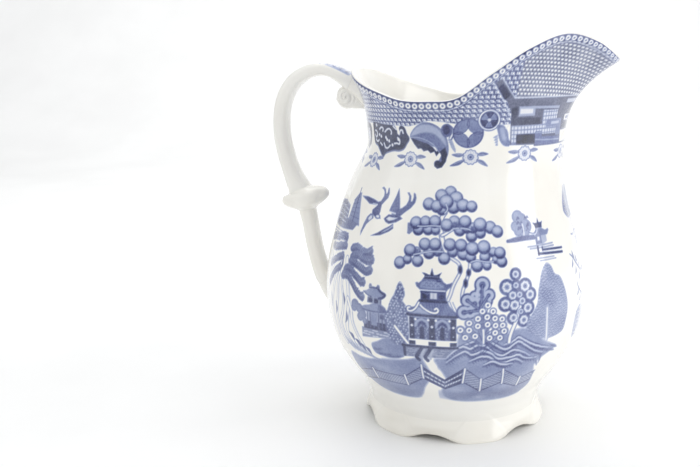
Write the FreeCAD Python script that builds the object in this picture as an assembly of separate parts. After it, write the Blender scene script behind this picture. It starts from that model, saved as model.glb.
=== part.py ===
import FreeCAD, Part
import os
import math

os.makedirs("parts", exist_ok=True)

# Porcelain cream jug: round belly on a scalloped foot, waisted neck, raised
# beak spout on +X, loop handle with scroll and leaf knop on -X.
# Millimetres. +Z up. The table is z = 0. The origin is the middle of the jug's
# overall footprint, so the belly's own axis stands BELLY_X forward of it.
# Everything is symmetric about the plane y = 0.

V = FreeCAD.Vector

# ---------------------------------------------------------------- dimensions
BELLY_X = 7.64            # belly axis, forward of the footprint's middle
WALL = 2.5                # thickness of the belly and neck wall
LIP = 2.1                 # thickness of the rounded lip
BASE_Z = 5.8              # underside of the base, inside the foot
FLOOR_Z = 9.6             # inside floor
FLOOR_R = 19.0            # flat part of the inside floor
WAIST_Z = 7.2             # belly meets foot
PANELS = 12               # soft upright panels pressed into the belly
PANEL_DEPTH = 0.45        # depth of the crease between two panels

LOBES = 6                 # lobes of the scalloped foot
LOBE_R = 36.3             # foot radius at a lobe
ARCH_R = 35.0             # foot radius at an arch
ARCH_H = 2.5              # height of an arch above the table
ARCH_FLAT = 1.5           # half angle of an arch's crown, degrees
ARCH_SPAN = 22.5          # half angle from an arch's middle to the lobe, degrees
FOOT_IN_R = 30.2          # inside radius of the foot

COLS = 72                 # columns of the surface net around the axis

# Belly and neck outline about the belly axis: height, mean radius, and how far
# the section's centre leans towards the spout.
OUTLINE = [
    (5.8, 34.0, 0.0), (7.2, 34.0, 0.0), (9.5, 34.15, 0.0), (12.0, 34.85, 0.0),
    (15.0, 36.3, 0.0), (18.2, 38.1, 0.0), (23.1, 41.7, 0.0), (27.1, 44.3, 0.0),
    (31.0, 46.5, 0.0), (34.7, 48.2, 0.0), (38.0, 49.4, 0.0), (42.2, 50.4, 0.0),
    (46.2, 51.0, 0.0), (50.0, 51.3, 0.0), (54.0, 51.4, 0.0), (58.0, 51.2, 0.0),
    (62.3, 50.75, 0.0), (66.0, 50.15, 0.0), (70.0, 49.35, 0.0), (73.5, 48.5, 0.0),
    (77.0, 47.6, 0.0), (80.6, 46.6, 0.0), (84.0, 45.5, 0.05), (88.0, 44.25, 0.2),
    (92.6, 42.9, 0.6), (96.2, 41.85, 1.1), (99.4, 40.9, 1.65), (101.7, 40.15, 2.2),
    (104.1, 39.45, 2.85), (106.0, 38.95, 3.4), (108.0, 38.5, 4.0), (112.0, 38.0, 4.7),
]
NECK_Z = 112.0            # above this the neck flares to the rim
NECK_R = 38.0
NECK_LEAN = 4.7

# Rim: every 15 degrees from the spout tip (0) to the handle (180).
RIM_R = [60.8, 56.6, 52.6, 49.2, 45.6, 42.0, 39.8, 39.4, 39.5, 39.5, 39.7, 39.4, 39.1]
RIM_Z = [141.3, 147.0, 149.8, 145.3, 137.1, 129.1, 128.0, 128.4, 131.1, 133.9,
         137.0, 139.5, 139.9]

BELLY_ROWS = [7.2, 9.5, 13.0, 18.0, 24.0, 30.0, 37.0, 44.0, 51.0, 58.0, 65.0,
              72.0, 79.0, 85.0, 91.0, 96.0, 100.5]
NECK_ROWS = [0.12, 0.24, 0.36, 0.48, 0.60, 0.71, 0.81, 0.89, 0.95, 1.0]

# Handle, in the plane y = 0 about the belly axis: x, z, half depth, half width.
LOOP = [
    (-33.0, 129.4, 4.6, 4.6), (-38.0, 132.2, 4.2, 4.3), (-43.3, 135.4, 3.5, 4.1),
    (-47.0, 137.7, 3.0, 4.0), (-50.6, 139.3, 2.75, 4.0), (-54.3, 140.0, 2.7, 4.1),
    (-58.5, 139.6, 2.75, 4.2), (-62.3, 138.3, 2.85, 4.3), (-65.8, 136.2, 2.95, 4.35),
    (-68.8, 133.1, 3.0, 4.4), (-71.1, 129.2, 3.0, 4.4), (-72.7, 124.4, 3.0, 4.4),
    (-73.4, 118.4, 3.0, 4.4), (-73.2, 112.2, 3.05, 4.4), (-72.1, 106.2, 3.1, 4.4),
    (-70.7, 101.2, 3.2, 4.35), (-69.0, 96.6, 3.5, 4.4), (-67.2, 92.6, 4.2, 4.6),
    (-66.2, 90.2, 4.7, 4.9),
]
STEM = [
    (-62.9, 81.6, 3.35, 3.85), (-61.9, 77.0, 3.1, 3.8), (-61.2, 72.6, 3.05, 3.8),
    (-60.5, 68.2, 3.05, 3.8), (-59.6, 63.9, 3.05, 3.8), (-58.4, 59.4, 3.15, 3.85),
    (-56.9, 55.0, 3.35, 3.9), (-55.0, 51.4, 3.7, 4.1),
]
# Slip seam at the foot of the stem, spreading on to the belly wall.
LOW_SEAM = [
    (-55.0, 51.4, 3.7, 4.1), (-53.5, 49.4, 4.2, 4.6), (-51.6, 47.6, 5.0, 5.4),
    (-49.2, 46.1, 6.1, 6.6), (-46.0, 44.8, 7.1, 7.6),
]
# Upper slip seam, from inside the neck wall to the start of the loop.
TOP_SEAM = [
    (-31.0, 128.0, 5.7, 6.4), (-34.5, 130.3, 5.2, 5.8), (-37.2, 131.9, 4.6, 5.0),
    (-39.4, 133.2, 4.15, 4.5), (-41.2, 134.2, 3.85, 4.2),
]
# Rolled scroll under the handle's upper root: an arm that ends in a ball.
SCROLL = [
    (-31.5, 127.4, 3.4, 3.6), (-34.5, 127.0, 3.2, 3.5), (-37.2, 126.9, 3.1, 3.4),
    (-39.6, 127.3, 3.5, 3.4), (-41.6, 128.0, 4.3, 3.5), (-43.5, 128.5, 4.7, 3.5),
    (-45.3, 128.8, 4.4, 3.3), (-46.7, 129.0, 3.6, 2.9), (-47.7, 129.1, 2.4, 2.1),
    (-48.1, 129.2, 1.1, 1.0),
]
# Leaf knop between loop and stem: x, z, half depth, half width, tilt in degrees.
KNOP = [
    (-66.2, 90.2, 4.7, 4.9, 22.0), (-65.3, 89.6, 6.9, 5.7, 16.0),
    (-64.6, 89.0, 8.7, 6.6, 11.0), (-64.1, 88.0, 9.6, 7.2, 8.0),
    (-63.8, 86.8, 10.0, 7.4, 7.0), (-63.6, 85.6, 9.8, 7.3, 6.0),
    (-63.5, 84.4, 8.9, 6.8, 6.0), (-63.3, 83.4, 7.1, 5.9, 7.0),
    (-63.1, 82.5, 5.0, 4.7, 8.0), (-62.9, 81.6, 3.35, 3.85, 9.0),
]


# ------------------------------------------------------------------- helpers
def curve(table, x, k):
    """Smooth interpolation of column k of a table against its first column."""
    n = len(table)
    if x <= table[0][0]:
        return table[0][k]
    if x >= table[n - 1][0]:
        return table[n - 1][k]
    i = 0
    while x > table[i + 1][0]:
        i += 1

    def slope(j):
        a, b = max(j - 1, 0), min(j + 1, n - 1)
        return (table[b][k] - table[a][k]) / (table[b][0] - table[a][0])

    h = table[i + 1][0] - table[i][0]
    t = (x - table[i][0]) / h
    m0, m1 = slope(i) * h, slope(i + 1) * h
    t2, t3 = t * t, t * t * t
    return ((2 * t3 - 3 * t2 + 1) * table[i][k] + (t3 - 2 * t2 + t) * m0
            + (-2 * t3 + 3 * t2) * table[i + 1][k] + (t3 - t2) * m1)


def around(values, deg):
    """Value at an angle from a list given every 15 degrees over half a turn."""
    deg = abs((deg + 180.0) % 360.0 - 180.0)
    f = deg / 15.0
    i = min(int(f), 11)
    t = f - i

    def at(j):
        j = abs(j)
        return values[24 - j] if j > 12 else values[j]

    p0, p1, p2, p3 = at(i - 1), at(i), at(i + 1), at(i + 2)
    return 0.5 * (2 * p1 + (p2 - p0) * t + (2 * p0 - 5 * p1 + 4 * p2 - p3) * t * t
                  + (3 * p1 - p0 - 3 * p2 + p3) * t ** 3)


def step(a, b, x):
    t = min(max((x - a) / (b - a), 0.0), 1.0)
    return t * t * (3 - 2 * t)


def radius(deg, z):
    """Outer radius of the wall about the belly axis."""
    th = math.radians(deg)
    if z <= NECK_Z:
        r = curve(OUTLINE, z, 1) + curve(OUTLINE, z, 2) * math.cos(th)
    else:
        top = around(RIM_Z, deg) - 0.6 * LIP
        w = min((z - NECK_Z) / (top - NECK_Z), 1.0)
        base = NECK_R + NECK_LEAN * math.cos(th)
        r = base + (around(RIM_R, deg) - base) * (0.08 * w + 0.92 * w ** 2.7)
    crease = 1.0 - math.sqrt(math.sin(0.5 * PANELS * th) ** 2 + 0.015)
    depth = PANEL_DEPTH * step(24.0, 48.0, z) * (1.0 - 0.75 * step(104.0, 124.0, z))
    return r - depth * crease


def surface(rows, closed=False):
    """Cubic surface over rows of poles; each row is a closed ring."""
    nv, nu = len(rows), len(rows[0])
    poles = [[rows[j][i] for j in range(nv)] for i in range(nu)]
    s = Part.BSplineSurface()
    uk = list(range(nu + 1))
    um = [1] * (nu + 1)
    if closed:
        vk = list(range(nv + 1))
        vm = [1] * (nv + 1)
    else:
        vk = list(range(nv - 2))
        vm = [4] + [1] * (nv - 4) + [4]
    s.buildFromPolesMultsKnots(poles, um, vm, uk, vk, True, closed, 3, 3)
    return s


def solid_from(rows):
    """Closed solid from rings whose first and last rings are flat."""
    face = surface(rows).toShape()
    if hasattr(face, "Faces") and len(face.Faces) == 1:
        face = face.Faces[0]
    loops = []
    for e in face.Edges:
        if e.isClosed() and e.Length > 1e-3:
            loops.append(e)
    caps = [Part.Face(Part.Wire([e])) for e in loops]
    shell = Part.Shell([face] + caps)
    shell.sewShape()
    out = Part.Solid(shell)
    out.fix(1e-4, 1e-4, 1e-4)
    if out.Volume < 0:
        out.reverse()
    return out


def solid_ring(rows):
    """Closed solid from rings that run right round a section, such as a foot."""
    face = surface(rows, True).toShape()
    out = Part.Solid(Part.Shell([face.Faces[0]]))
    out.fix(1e-4, 1e-4, 1e-4)
    if out.Volume < 0:
        out.reverse()
    return out


def sharpen(rows, lo, hi):
    """Push poles out so that the surface, not its net, keeps the radii."""
    out = [list(r) for r in rows]
    nu = len(rows[0])
    for j in range(lo, hi):
        for i in range(nu):
            p = rows[j][i]
            su = (rows[j][i - 1] + p * 4 + rows[j][(i + 1) % nu]) * (1 / 6.0)
            sv = (rows[j - 1][i] + p * 4 + rows[j + 1][i]) * (1 / 6.0)
            out[j][i] = p + (p - su) + (p - sv)
    return out


def ring_xyz(rz_of_deg):
    pts = []
    for c in range(COLS):
        deg = 360.0 * c / COLS
        r, z = rz_of_deg(deg)
        th = math.radians(deg)
        pts.append(V(BELLY_X + r * math.cos(th), r * math.sin(th), z))
    return pts


def biggest(shape):
    """The one main solid of a boolean result."""
    best = max(shape.Solids, key=lambda s: s.Volume)
    return Part.Solid(best)


# ------------------------------------------------------------------- the wall
def row_height(deg, row):
    kind, q = row
    if kind == "z":
        return q
    top = around(RIM_Z, deg) - 0.6 * LIP
    return 100.5 + (top - 100.5) * q


def outer(deg, row):
    z = row_height(deg, row)
    return radius(deg, z), z


def normal(deg, row):
    """Unit outward normal of the wall's outline, as (dr, dz)."""
    r, z = outer(deg, row)
    a, b = radius(deg, z - 0.4), radius(deg, z)
    dr, dz = (b - a), 0.4
    n = math.hypot(dr, dz)
    return dz / n, -dr / n


ROWS = [("z", z) for z in BELLY_ROWS] + [("s", s) for s in NECK_ROWS]


def thick(z_frac):
    return WALL + (LIP - WALL) * z_frac


def wall_rows():
    rows = [
        ring_xyz(lambda d: (18.0, BASE_Z)),
        ring_xyz(lambda d: (23.0, BASE_Z)),
        ring_xyz(lambda d: (28.0, BASE_Z)),
        ring_xyz(lambda d: (32.2, BASE_Z)),
        ring_xyz(lambda d: (33.3, BASE_Z + 0.5)),
    ]
    first = len(rows)
    for row in ROWS:
        rows.append(ring_xyz(lambda d, row=row: outer(d, row)))
    last = len(rows) - 1
    rows = sharpen(rows, first + 1, last - 1)

    end = ROWS[-1]

    def lip(fo, ft):
        def at(d):
            r, z = outer(d, end)
            nr, nz = normal(d, end)
            tr, tz = -nz, nr
            return (r - nr * LIP * fo + tr * LIP * ft,
                    z - nz * LIP * fo + tz * LIP * ft)
        return ring_xyz(at)

    rows.append(lip(0.02, 0.42))
    rows.append(lip(0.5, 0.72))
    rows.append(lip(0.98, 0.42))
    top_of_lip = len(rows)
    inner = []
    for n, row in reversed(list(enumerate(ROWS))):
        if row[0] == "z" and row[1] < 24.0:
            break
        if row[0] == "s" and row[1] in (0.12, 0.36):
            continue
        f = step(0.5, 1.0, row[1]) if row[0] == "s" else 0.0

        def at(d, row=row, f=f):
            r, z = outer(d, row)
            nr, nz = normal(d, row)
            t = thick(f)
            return r - nr * t, z - nz * t
        inner.append(ring_xyz(at))
    rows += inner
    for r, z in ((36.0, 20.8), (32.8, 16.2), (28.6, 12.2), (24.2, 10.1),
                 (21.4, FLOOR_Z), (FLOOR_R, FLOOR_Z)):
        rows.append(ring_xyz(lambda d, r=r, z=z: (r, z)))
    return rows, top_of_lip


def body_and_core():
    rows, top_of_lip = wall_rows()
    body = solid_from(rows)
    # The jug's outside filled solid, used to fit foot and handle to the wall.
    core_rows = rows[:top_of_lip + 1]
    for f, z in ((0.6, 136.0), (0.3, 134.0)):
        core_rows.append(ring_xyz(
            lambda d, f=f, z=z: (around(RIM_R, d) * f * 0.9, z)))
    core_rows.append(ring_xyz(lambda d: (4.0, 134.0)))
    core = solid_from(core_rows)
    return body, core


# ------------------------------------------------------------------- the foot
def foot(core):
    def lobe(deg):
        """1 on a lobe, 0 at the crown of an arch, soft in between."""
        off = abs((deg % (360.0 / LOBES)) - 180.0 / LOBES)
        return step(ARCH_FLAT, ARCH_SPAN, off)

    section = [
        # outer side, down: radius and height on a lobe, then on an arch
        (33.0, 9.7, 33.0, 9.7), (33.9, 9.0, 33.9, 9.0), (34.15, 7.5, 34.1, 7.6),
        (34.6, 5.6, 34.35, 6.2), (35.3, 3.7, 34.65, 5.0), (35.95, 2.1, 34.95, 4.0),
        (LOBE_R, 0.9, ARCH_R, 3.3), (LOBE_R - 0.1, 0.0, ARCH_R - 0.2, ARCH_H + 0.1),
        (35.5, -0.75, 34.3, ARCH_H - 0.2),
        # underside and inner side, up
        (34.3, -0.8, 33.6, ARCH_H - 0.2), (33.2, -0.8, 32.8, ARCH_H),
        (32.1, -0.7, 32.0, ARCH_H + 0.3), (31.1, 0.5, 31.1, ARCH_H + 0.7),
        (30.4, 2.7, 30.4, 4.4), (FOOT_IN_R, 5.0, FOOT_IN_R, 5.6),
        (FOOT_IN_R + 0.2, 7.3, FOOT_IN_R + 0.2, 7.4), (31.4, 9.3, 31.4, 9.3),
    ]
    rows = []
    for r1, z1, r0, z0 in section:
        def at(d, r1=r1, z1=z1, r0=r0, z0=z0):
            k = lobe(d)
            return r0 + (r1 - r0) * k, z0 + (z1 - z0) * k
        rows.append(ring_xyz(at))
    ring = solid_ring(rows)
    table = Part.makeBox(120, 120, 10, V(-60 + BELLY_X, -60, -10))
    ring = ring.cut(table)
    return biggest(ring.cut(core))


# ----------------------------------------------------------------- the handle
SIDES = 20


def oval(cx, cz, tx, tz, half_depth, half_width, square=0.18):
    """Closed oval section across a path in the plane y = 0."""
    n = math.hypot(tx, tz)
    tx, tz = tx / n, tz / n
    nx, nz = -tz, tx
    comp = 3.0 / (2.0 + math.cos(2 * math.pi / SIDES))
    pts = []
    for i in range(SIDES):
        a = 2 * math.pi * i / SIDES
        c, s = math.cos(a), math.sin(a)
        k = comp * (1.0 + square * (c * s) ** 2 * 2.0)
        d, w = half_depth * c * k, half_width * s * k
        pts.append(V(BELLY_X + cx + nx * d, w, cz + nz * d))
    return pts


def tube(path, t0=None, t1=None):
    rows = []
    n = len(path)
    for i, p in enumerate(path):
        a, b = path[max(i - 1, 0)], path[min(i + 1, n - 1)]
        tx, tz = b[0] - a[0], b[1] - a[1]
        if i == 0 and t0:
            tx, tz = t0
        if i == n - 1 and t1:
            tx, tz = t1
        rows.append(oval(p[0], p[1], tx, tz, p[2], p[3]))
    return solid_from(rows)


def knop():
    rows = []
    n = len(KNOP)
    for i, (x, z, a, b, tilt) in enumerate(KNOP):
        t = math.radians(tilt)
        # The path runs down the handle; the tilt lifts the inner leaf tip.
        rows.append(oval(x, z, math.sin(t), -math.cos(t), a, b, 0.05))
    leaf = []
    for j, ring in enumerate(rows):
        f = math.sin(math.pi * j / (n - 1)) ** 2
        pts = []
        cx = sum(p.x for p in ring) / SIDES
        cz = sum(p.z for p in ring) / SIDES
        for i, p in enumerate(ring):
            g = 1.0 + 0.07 * f * math.cos(5 * 2 * math.pi * i / SIDES)
            pts.append(V(cx + (p.x - cx) * g, p.y * g, cz + (p.z - cz) * g))
        leaf.append(pts)
    leaf[0], leaf[-1] = rows[0], rows[-1]
    return solid_from(leaf)


def handle(core):
    loop_path = [TOP_SEAM[-1]] + [p for p in LOOP if p[0] < -43.0]
    t_top = (-1.8, 1.12)
    t_knop = (math.sin(math.radians(22.0)), -math.cos(math.radians(22.0)))
    t_stem = (math.sin(math.radians(9.0)), -math.cos(math.radians(9.0)))
    t_low = (1.55, -1.85)
    loop = tube(loop_path, t_top, t_knop)
    seam_top = biggest(tube(TOP_SEAM, None, t_top).cut(core))
    stem = tube(STEM, t_stem, t_low)
    seam_low = biggest(tube(LOW_SEAM, t_low, None).cut(core))
    curl = biggest(tube(SCROLL).cut(core))
    curl = biggest(curl.cut(loop))
    curl = biggest(curl.cut(seam_top))
    return loop, seam_top, stem, seam_low, curl, knop()


body, core = body_and_core()
foot_ring = foot(core)
loop, seam_top, stem, seam_low, curl, collar = handle(core)

NODES = {
    "body_shell": body,
    "foot_ring": foot_ring,
    "handle_loop": loop,
    "handle_scroll": curl,
    "handle_knop": collar,
    "handle_stem": stem,
    "upper_slip_seam": seam_top,
    "lower_slip_seam": seam_low,
}
for name, shape in NODES.items():
    bb = shape.BoundBox
    print(name, "valid", shape.isValid(), "closed", shape.isClosed(),
          "solids", len(shape.Solids), "vol", round(shape.Volume, 1),
          "x", round(bb.XMin, 2), round(bb.XMax, 2),
          "y", round(bb.YMin, 2), round(bb.YMax, 2),
          "z", round(bb.ZMin, 2), round(bb.ZMax, 2))
    shape.exportStep("parts/%s.step" % name)
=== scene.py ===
import math

import bpy
import numpy as np
from mathutils import Matrix, Vector


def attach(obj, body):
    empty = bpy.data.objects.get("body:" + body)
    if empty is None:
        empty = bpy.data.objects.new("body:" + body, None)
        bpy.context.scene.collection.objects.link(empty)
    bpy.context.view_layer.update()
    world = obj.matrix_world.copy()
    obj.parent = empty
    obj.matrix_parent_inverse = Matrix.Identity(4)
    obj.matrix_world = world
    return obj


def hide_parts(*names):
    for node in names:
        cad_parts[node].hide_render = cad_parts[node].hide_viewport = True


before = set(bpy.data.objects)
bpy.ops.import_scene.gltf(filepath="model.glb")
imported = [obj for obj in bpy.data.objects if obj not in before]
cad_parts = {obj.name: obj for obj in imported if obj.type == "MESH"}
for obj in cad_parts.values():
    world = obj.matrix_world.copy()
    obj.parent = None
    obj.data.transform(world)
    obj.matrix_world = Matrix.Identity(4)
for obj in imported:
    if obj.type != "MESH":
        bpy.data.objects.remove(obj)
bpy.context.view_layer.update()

# Porcelain cream jug with an underglaze blue landscape print. The shapes below
# repeat the CAD dimensions in millimetres about the belly axis, then go into
# the frame in metres.
BELLY_X = 7.64
WALL = 2.5
LIP = 2.1
PANELS = 12
PANEL_DEPTH = 0.45
OUTLINE = np.array([
    (5.8, 34.0, 0.0), (7.2, 34.0, 0.0), (9.5, 34.15, 0.0), (12.0, 34.85, 0.0),
    (15.0, 36.3, 0.0), (18.2, 38.1, 0.0), (23.1, 41.7, 0.0), (27.1, 44.3, 0.0),
    (31.0, 46.5, 0.0), (34.7, 48.2, 0.0), (38.0, 49.4, 0.0), (42.2, 50.4, 0.0),
    (46.2, 51.0, 0.0), (50.0, 51.3, 0.0), (54.0, 51.4, 0.0), (58.0, 51.2, 0.0),
    (62.3, 50.75, 0.0), (66.0, 50.15, 0.0), (70.0, 49.35, 0.0), (73.5, 48.5, 0.0),
    (77.0, 47.6, 0.0), (80.6, 46.6, 0.0), (84.0, 45.5, 0.05), (88.0, 44.25, 0.2),
    (92.6, 42.9, 0.6), (96.2, 41.85, 1.1), (99.4, 40.9, 1.65), (101.7, 40.15, 2.2),
    (104.1, 39.45, 2.85), (106.0, 38.95, 3.4), (108.0, 38.5, 4.0), (112.0, 38.0, 4.7)])
NECK_Z, NECK_R, NECK_LEAN = 112.0, 38.0, 4.7
RIM_R = np.array([60.8, 56.6, 52.6, 49.2, 45.6, 42.0, 39.8, 39.4, 39.5, 39.5, 39.7, 39.4, 39.1])
RIM_Z = np.array([141.3, 147.0, 149.8, 145.3, 137.1, 129.1, 128.0, 128.4, 131.1, 133.9,
                  137.0, 139.5, 139.9])
LOBES, LOBE_R, ARCH_R, ARCH_H, FOOT_IN_R = 6, 36.3, 35.0, 2.5, 30.2
ARCH_FLAT, ARCH_SPAN = 1.5, 22.5


def hermite(xs, ys, x):
    m = np.empty_like(ys)
    m[1:-1] = (ys[2:] - ys[:-2]) / (xs[2:] - xs[:-2])
    m[0] = (ys[1] - ys[0]) / (xs[1] - xs[0])
    m[-1] = (ys[-1] - ys[-2]) / (xs[-1] - xs[-2])
    xc = np.clip(x, xs[0], xs[-1])
    i = np.clip(np.searchsorted(xs, xc, side="left") - 1, 0, len(xs) - 2)
    h = xs[i + 1] - xs[i]
    t = (xc - xs[i]) / h
    t2, t3 = t * t, t * t * t
    return ((2 * t3 - 3 * t2 + 1) * ys[i] + (t3 - 2 * t2 + t) * m[i] * h
            + (-2 * t3 + 3 * t2) * ys[i + 1] + (t3 - t2) * m[i + 1] * h)


def around(v, deg):
    """Value at an angle from a list given every 15 degrees over half a turn."""
    deg = np.abs((deg + 180.0) % 360.0 - 180.0)
    f = deg / 15.0
    i = np.minimum(f.astype(int), 11)
    t = f - i

    def at(j):
        j = np.abs(j)
        return v[np.where(j > 12, 24 - j, j)]
    p0, p1, p2, p3 = at(i - 1), at(i), at(i + 1), at(i + 2)
    return 0.5 * (2 * p1 + (p2 - p0) * t + (2 * p0 - 5 * p1 + 4 * p2 - p3) * t * t
                  + (3 * p1 - p0 - 3 * p2 + p3) * t ** 3)


def step(a, b, x):
    t = np.clip((x - a) / (b - a), 0, 1)
    return t * t * (3 - 2 * t)


def radius(deg, z, crease=True):
    """Outer radius of the wall about the belly axis."""
    deg, z = np.broadcast_arrays(np.asarray(deg, float), np.asarray(z, float))
    th = np.radians(deg)
    lo = hermite(OUTLINE[:, 0], OUTLINE[:, 1], z) + hermite(OUTLINE[:, 0], OUTLINE[:, 2], z) * np.cos(th)
    top = around(RIM_Z, deg) - 0.6 * LIP
    w = np.clip((z - NECK_Z) / (top - NECK_Z), 0, 1.15)
    base = NECK_R + NECK_LEAN * np.cos(th)
    hi = base + (around(RIM_R, deg) - base) * (0.08 * w + 0.92 * w ** 2.7)
    r = np.where(z <= NECK_Z, lo, hi)
    if crease:
        c = 1 - np.sqrt(np.sin(0.5 * PANELS * th) ** 2 + 0.015)
        r = r - PANEL_DEPTH * step(24, 48, z) * (1 - 0.75 * step(104, 124, z)) * c
    return r


# ------------------------------------------------------------------ drawing
def resample(pts, n=10, closed=False):
    """Smooth curve through control points."""
    p = np.array(pts, float)
    if closed:
        p = np.vstack([p[-1:], p, p[:2]])
    else:
        p = np.vstack([2 * p[0] - p[1], p, 2 * p[-1] - p[-2]])
    out = []
    t = np.linspace(0, 1, n, endpoint=False)[:, None]
    for i in range(1, len(p) - 2):
        a, b, c, d = p[i - 1], p[i], p[i + 1], p[i + 2]
        out.append(0.5 * (2 * b + (c - a) * t + (2 * a - 5 * b + 4 * c - d) * t ** 2
                          + (3 * b - a - 3 * c + d) * t ** 3))
    out = np.vstack(out)
    return out if closed else np.vstack([out, p[-2][None]])


class Sheet:
    """A printed sheet wrapped on the wall: angle across, height up."""

    def __init__(self, d0, d1, z0, z1, dd=0.125, dz=0.11):
        self.d = np.arange(d0, d1, dd)
        self.z = np.arange(z0, z1, dz)
        self.d0, self.z0, self.dd, self.dz = d0, z0, dd, dz
        self.ink = np.zeros((len(self.z), len(self.d)), np.float32)
        self.grey = np.zeros_like(self.ink)
        self.rng = np.random.default_rng(7)

    def kx(self, z):
        return float(radius(-90.0, z, False)) * math.pi / 180.0

    def win(self, lo, hi, pad):
        k = self.kx(0.5 * (lo[1] + hi[1]))
        i0 = max(int((lo[0] - pad / k - self.d0) / self.dd), 0)
        i1 = min(int((hi[0] + pad / k - self.d0) / self.dd) + 2, len(self.d))
        j0 = max(int((lo[1] - pad - self.z0) / self.dz), 0)
        j1 = min(int((hi[1] + pad - self.z0) / self.dz) + 2, len(self.z))
        if i1 <= i0 or j1 <= j0:
            return None
        s = (slice(j0, j1), slice(i0, i1))
        X, Z = np.meshgrid(self.d[i0:i1], self.z[j0:j1])
        return s, X, Z, k

    def put(self, s, mask, ink, grey=None):
        m = np.clip(mask, 0, 1).astype(np.float32)
        self.ink[s] = self.ink[s] * (1 - m) + ink * m
        if grey is not None:
            self.grey[s] = self.grey[s] * (1 - m) + grey * m

    def edge(self, dist, soft=0.16):
        """1 inside (negative distance), 0 outside."""
        return np.clip(0.5 - dist / (2 * soft), 0, 1)

    def disc(self, d, z, r, ink, grey=0.0, rz=None, soft=0.16, clip=None):
        rz = rz or r
        w = self.win((d, z), (d, z), max(r, rz) + 1)
        if w is None:
            return
        s, X, Z, k = w
        u, v = (X - d) * k / r, (Z - z) / rz
        q = np.hypot(u, v)
        m = self.edge((q - 1) * min(r, rz), soft)
        if clip is not None:
            m = m * clip[s]
        self.put(s, m, ink, grey)

    def poly(self, pts, ink, grey=0.0, soft=0.16, smooth=0, clip=None, only_mask=False):
        p = resample(pts, smooth, True) if smooth else np.array(pts, float)
        w = self.win(p.min(0), p.max(0), 0.6)
        if w is None:
            return None
        s, X, Z, k = w
        inside = np.zeros(X.shape, bool)
        dist = np.full(X.shape, 1e9)
        n = len(p)
        for i in range(n):
            (x1, y1), (x2, y2) = p[i], p[(i + 1) % n]
            if y1 != y2:
                c = (y1 > Z) != (y2 > Z)
                xi = x1 + (Z - y1) * (x2 - x1) / (y2 - y1)
                inside ^= c & (X < xi)
            ax, ay = (X - x1) * k, Z - y1
            bx, by = (x2 - x1) * k, y2 - y1
            L = bx * bx + by * by + 1e-9
            t = np.clip((ax * bx + ay * by) / L, 0, 1)
            dist = np.minimum(dist, np.hypot(ax - t * bx, ay - t * by))
        m = self.edge(np.where(inside, -dist, dist), soft)
        if clip is not None:
            m = m * clip[s]
        if only_mask:
            full = np.zeros_like(self.ink)
            full[s] = m
            return full
        self.put(s, m, ink, grey)

    def line(self, pts, width, ink, grey=0.0, soft=0.13, smooth=8, taper=(1, 1), clip=None):
        p = resample(pts, smooth) if smooth and len(pts) > 2 else np.array(pts, float)
        n = len(p)
        w = self.win(p.min(0), p.max(0), width + 0.6)
        if w is None:
            return
        s, X, Z, k = w
        best = np.full(X.shape, 1e9)
        for i in range(n - 1):
            (x1, y1), (x2, y2) = p[i], p[i + 1]
            f = (i + 0.5) / (n - 1)
            h = 0.5 * width * (taper[0] + (1 - taper[0]) * min(f * 4, 1)) \
                * (taper[1] + (1 - taper[1]) * min((1 - f) * 4, 1))
            ax, ay = (X - x1) * k, Z - y1
            bx, by = (x2 - x1) * k, y2 - y1
            L = bx * bx + by * by + 1e-9
            t = np.clip((ax * bx + ay * by) / L, 0, 1)
            best = np.minimum(best, np.hypot(ax - t * bx, ay - t * by) - h)
        m = self.edge(best, soft)
        if clip is not None:
            m = m * clip[s]
        self.put(s, m, ink, grey)

    def cord(self, pts, width, inside, edge_ink, grey=0.0, rim=0.28):
        """A pale stroke with dark edges, such as a trunk."""
        self.line(pts, width + 2 * rim, edge_ink, grey)
        self.line(pts, width, inside, 0.0)

    def leaf(self, a, b, width, ink, grey=0.0, bend=0.15):
        (x1, y1), (x2, y2) = a, b
        k = self.kx(0.5 * (y1 + y2))
        vx, vy = (x2 - x1) * k, y2 - y1
        L = math.hypot(vx, vy)
        nx, ny = -vy / L, vx / L
        pts = []
        for t, h in ((0, 0), (0.2, 0.6), (0.5, 1.0), (0.8, 0.62), (1, 0)):
            o = bend * L * math.sin(math.pi * t)
            pts.append((x1 + (vx * t + nx * (0.5 * width * h + o)) / k,
                        y1 + vy * t + ny * (0.5 * width * h + o)))
        for t, h in ((0.8, 0.62), (0.5, 1.0), (0.2, 0.6)):
            o = bend * L * math.sin(math.pi * t)
            pts.append((x1 + (vx * t - nx * (0.5 * width * h - o)) / k,
                        y1 + vy * t - ny * (0.5 * width * h - o)))
        self.poly(pts, ink, grey, smooth=3)

    # -- motifs
    def fruit(self, d, z, r, dark=0.86):
        k = self.kx(z)
        self.disc(d, z, r + 0.08, dark, 0.15)
        self.disc(d - 0.10 / k, z + 0.40, r - 0.36, 0.47, 0.0, rz=r - 0.54, soft=0.30)
        self.disc(d - 0.18 / k, z + 0.66, r * 0.66, 0.24, 0.0, rz=r * 0.48, soft=0.42)

    def rosette(self, d, z, r, petals=7, centre=0.8, grey=0.0):
        k = self.kx(z)
        w = self.win((d, z), (d, z), r + 1)
        s, X, Z, k = w
        u, v = (X - d) * k, Z - z
        a, q = np.arctan2(v, u), np.hypot(u, v)
        edge = r * (0.86 + 0.14 * np.abs(np.cos(0.5 * petals * a + d)))
        self.put(s, self.edge(q - edge - 0.22), 0.78, grey)
        self.put(s, self.edge(q - edge), 0.10, grey)
        spokes = np.clip(1 - np.abs(np.sin(0.5 * petals * a + d)) * q / 0.17, 0, 1)
        self.put(s, spokes * self.edge(q - r * 0.86) * 0.7, 0.5, grey)
        self.put(s, self.edge(np.abs(q - r * 0.36) - 0.12), 0.74, grey)
        self.put(s, self.edge(q - r * 0.2), centre, grey)

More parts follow.
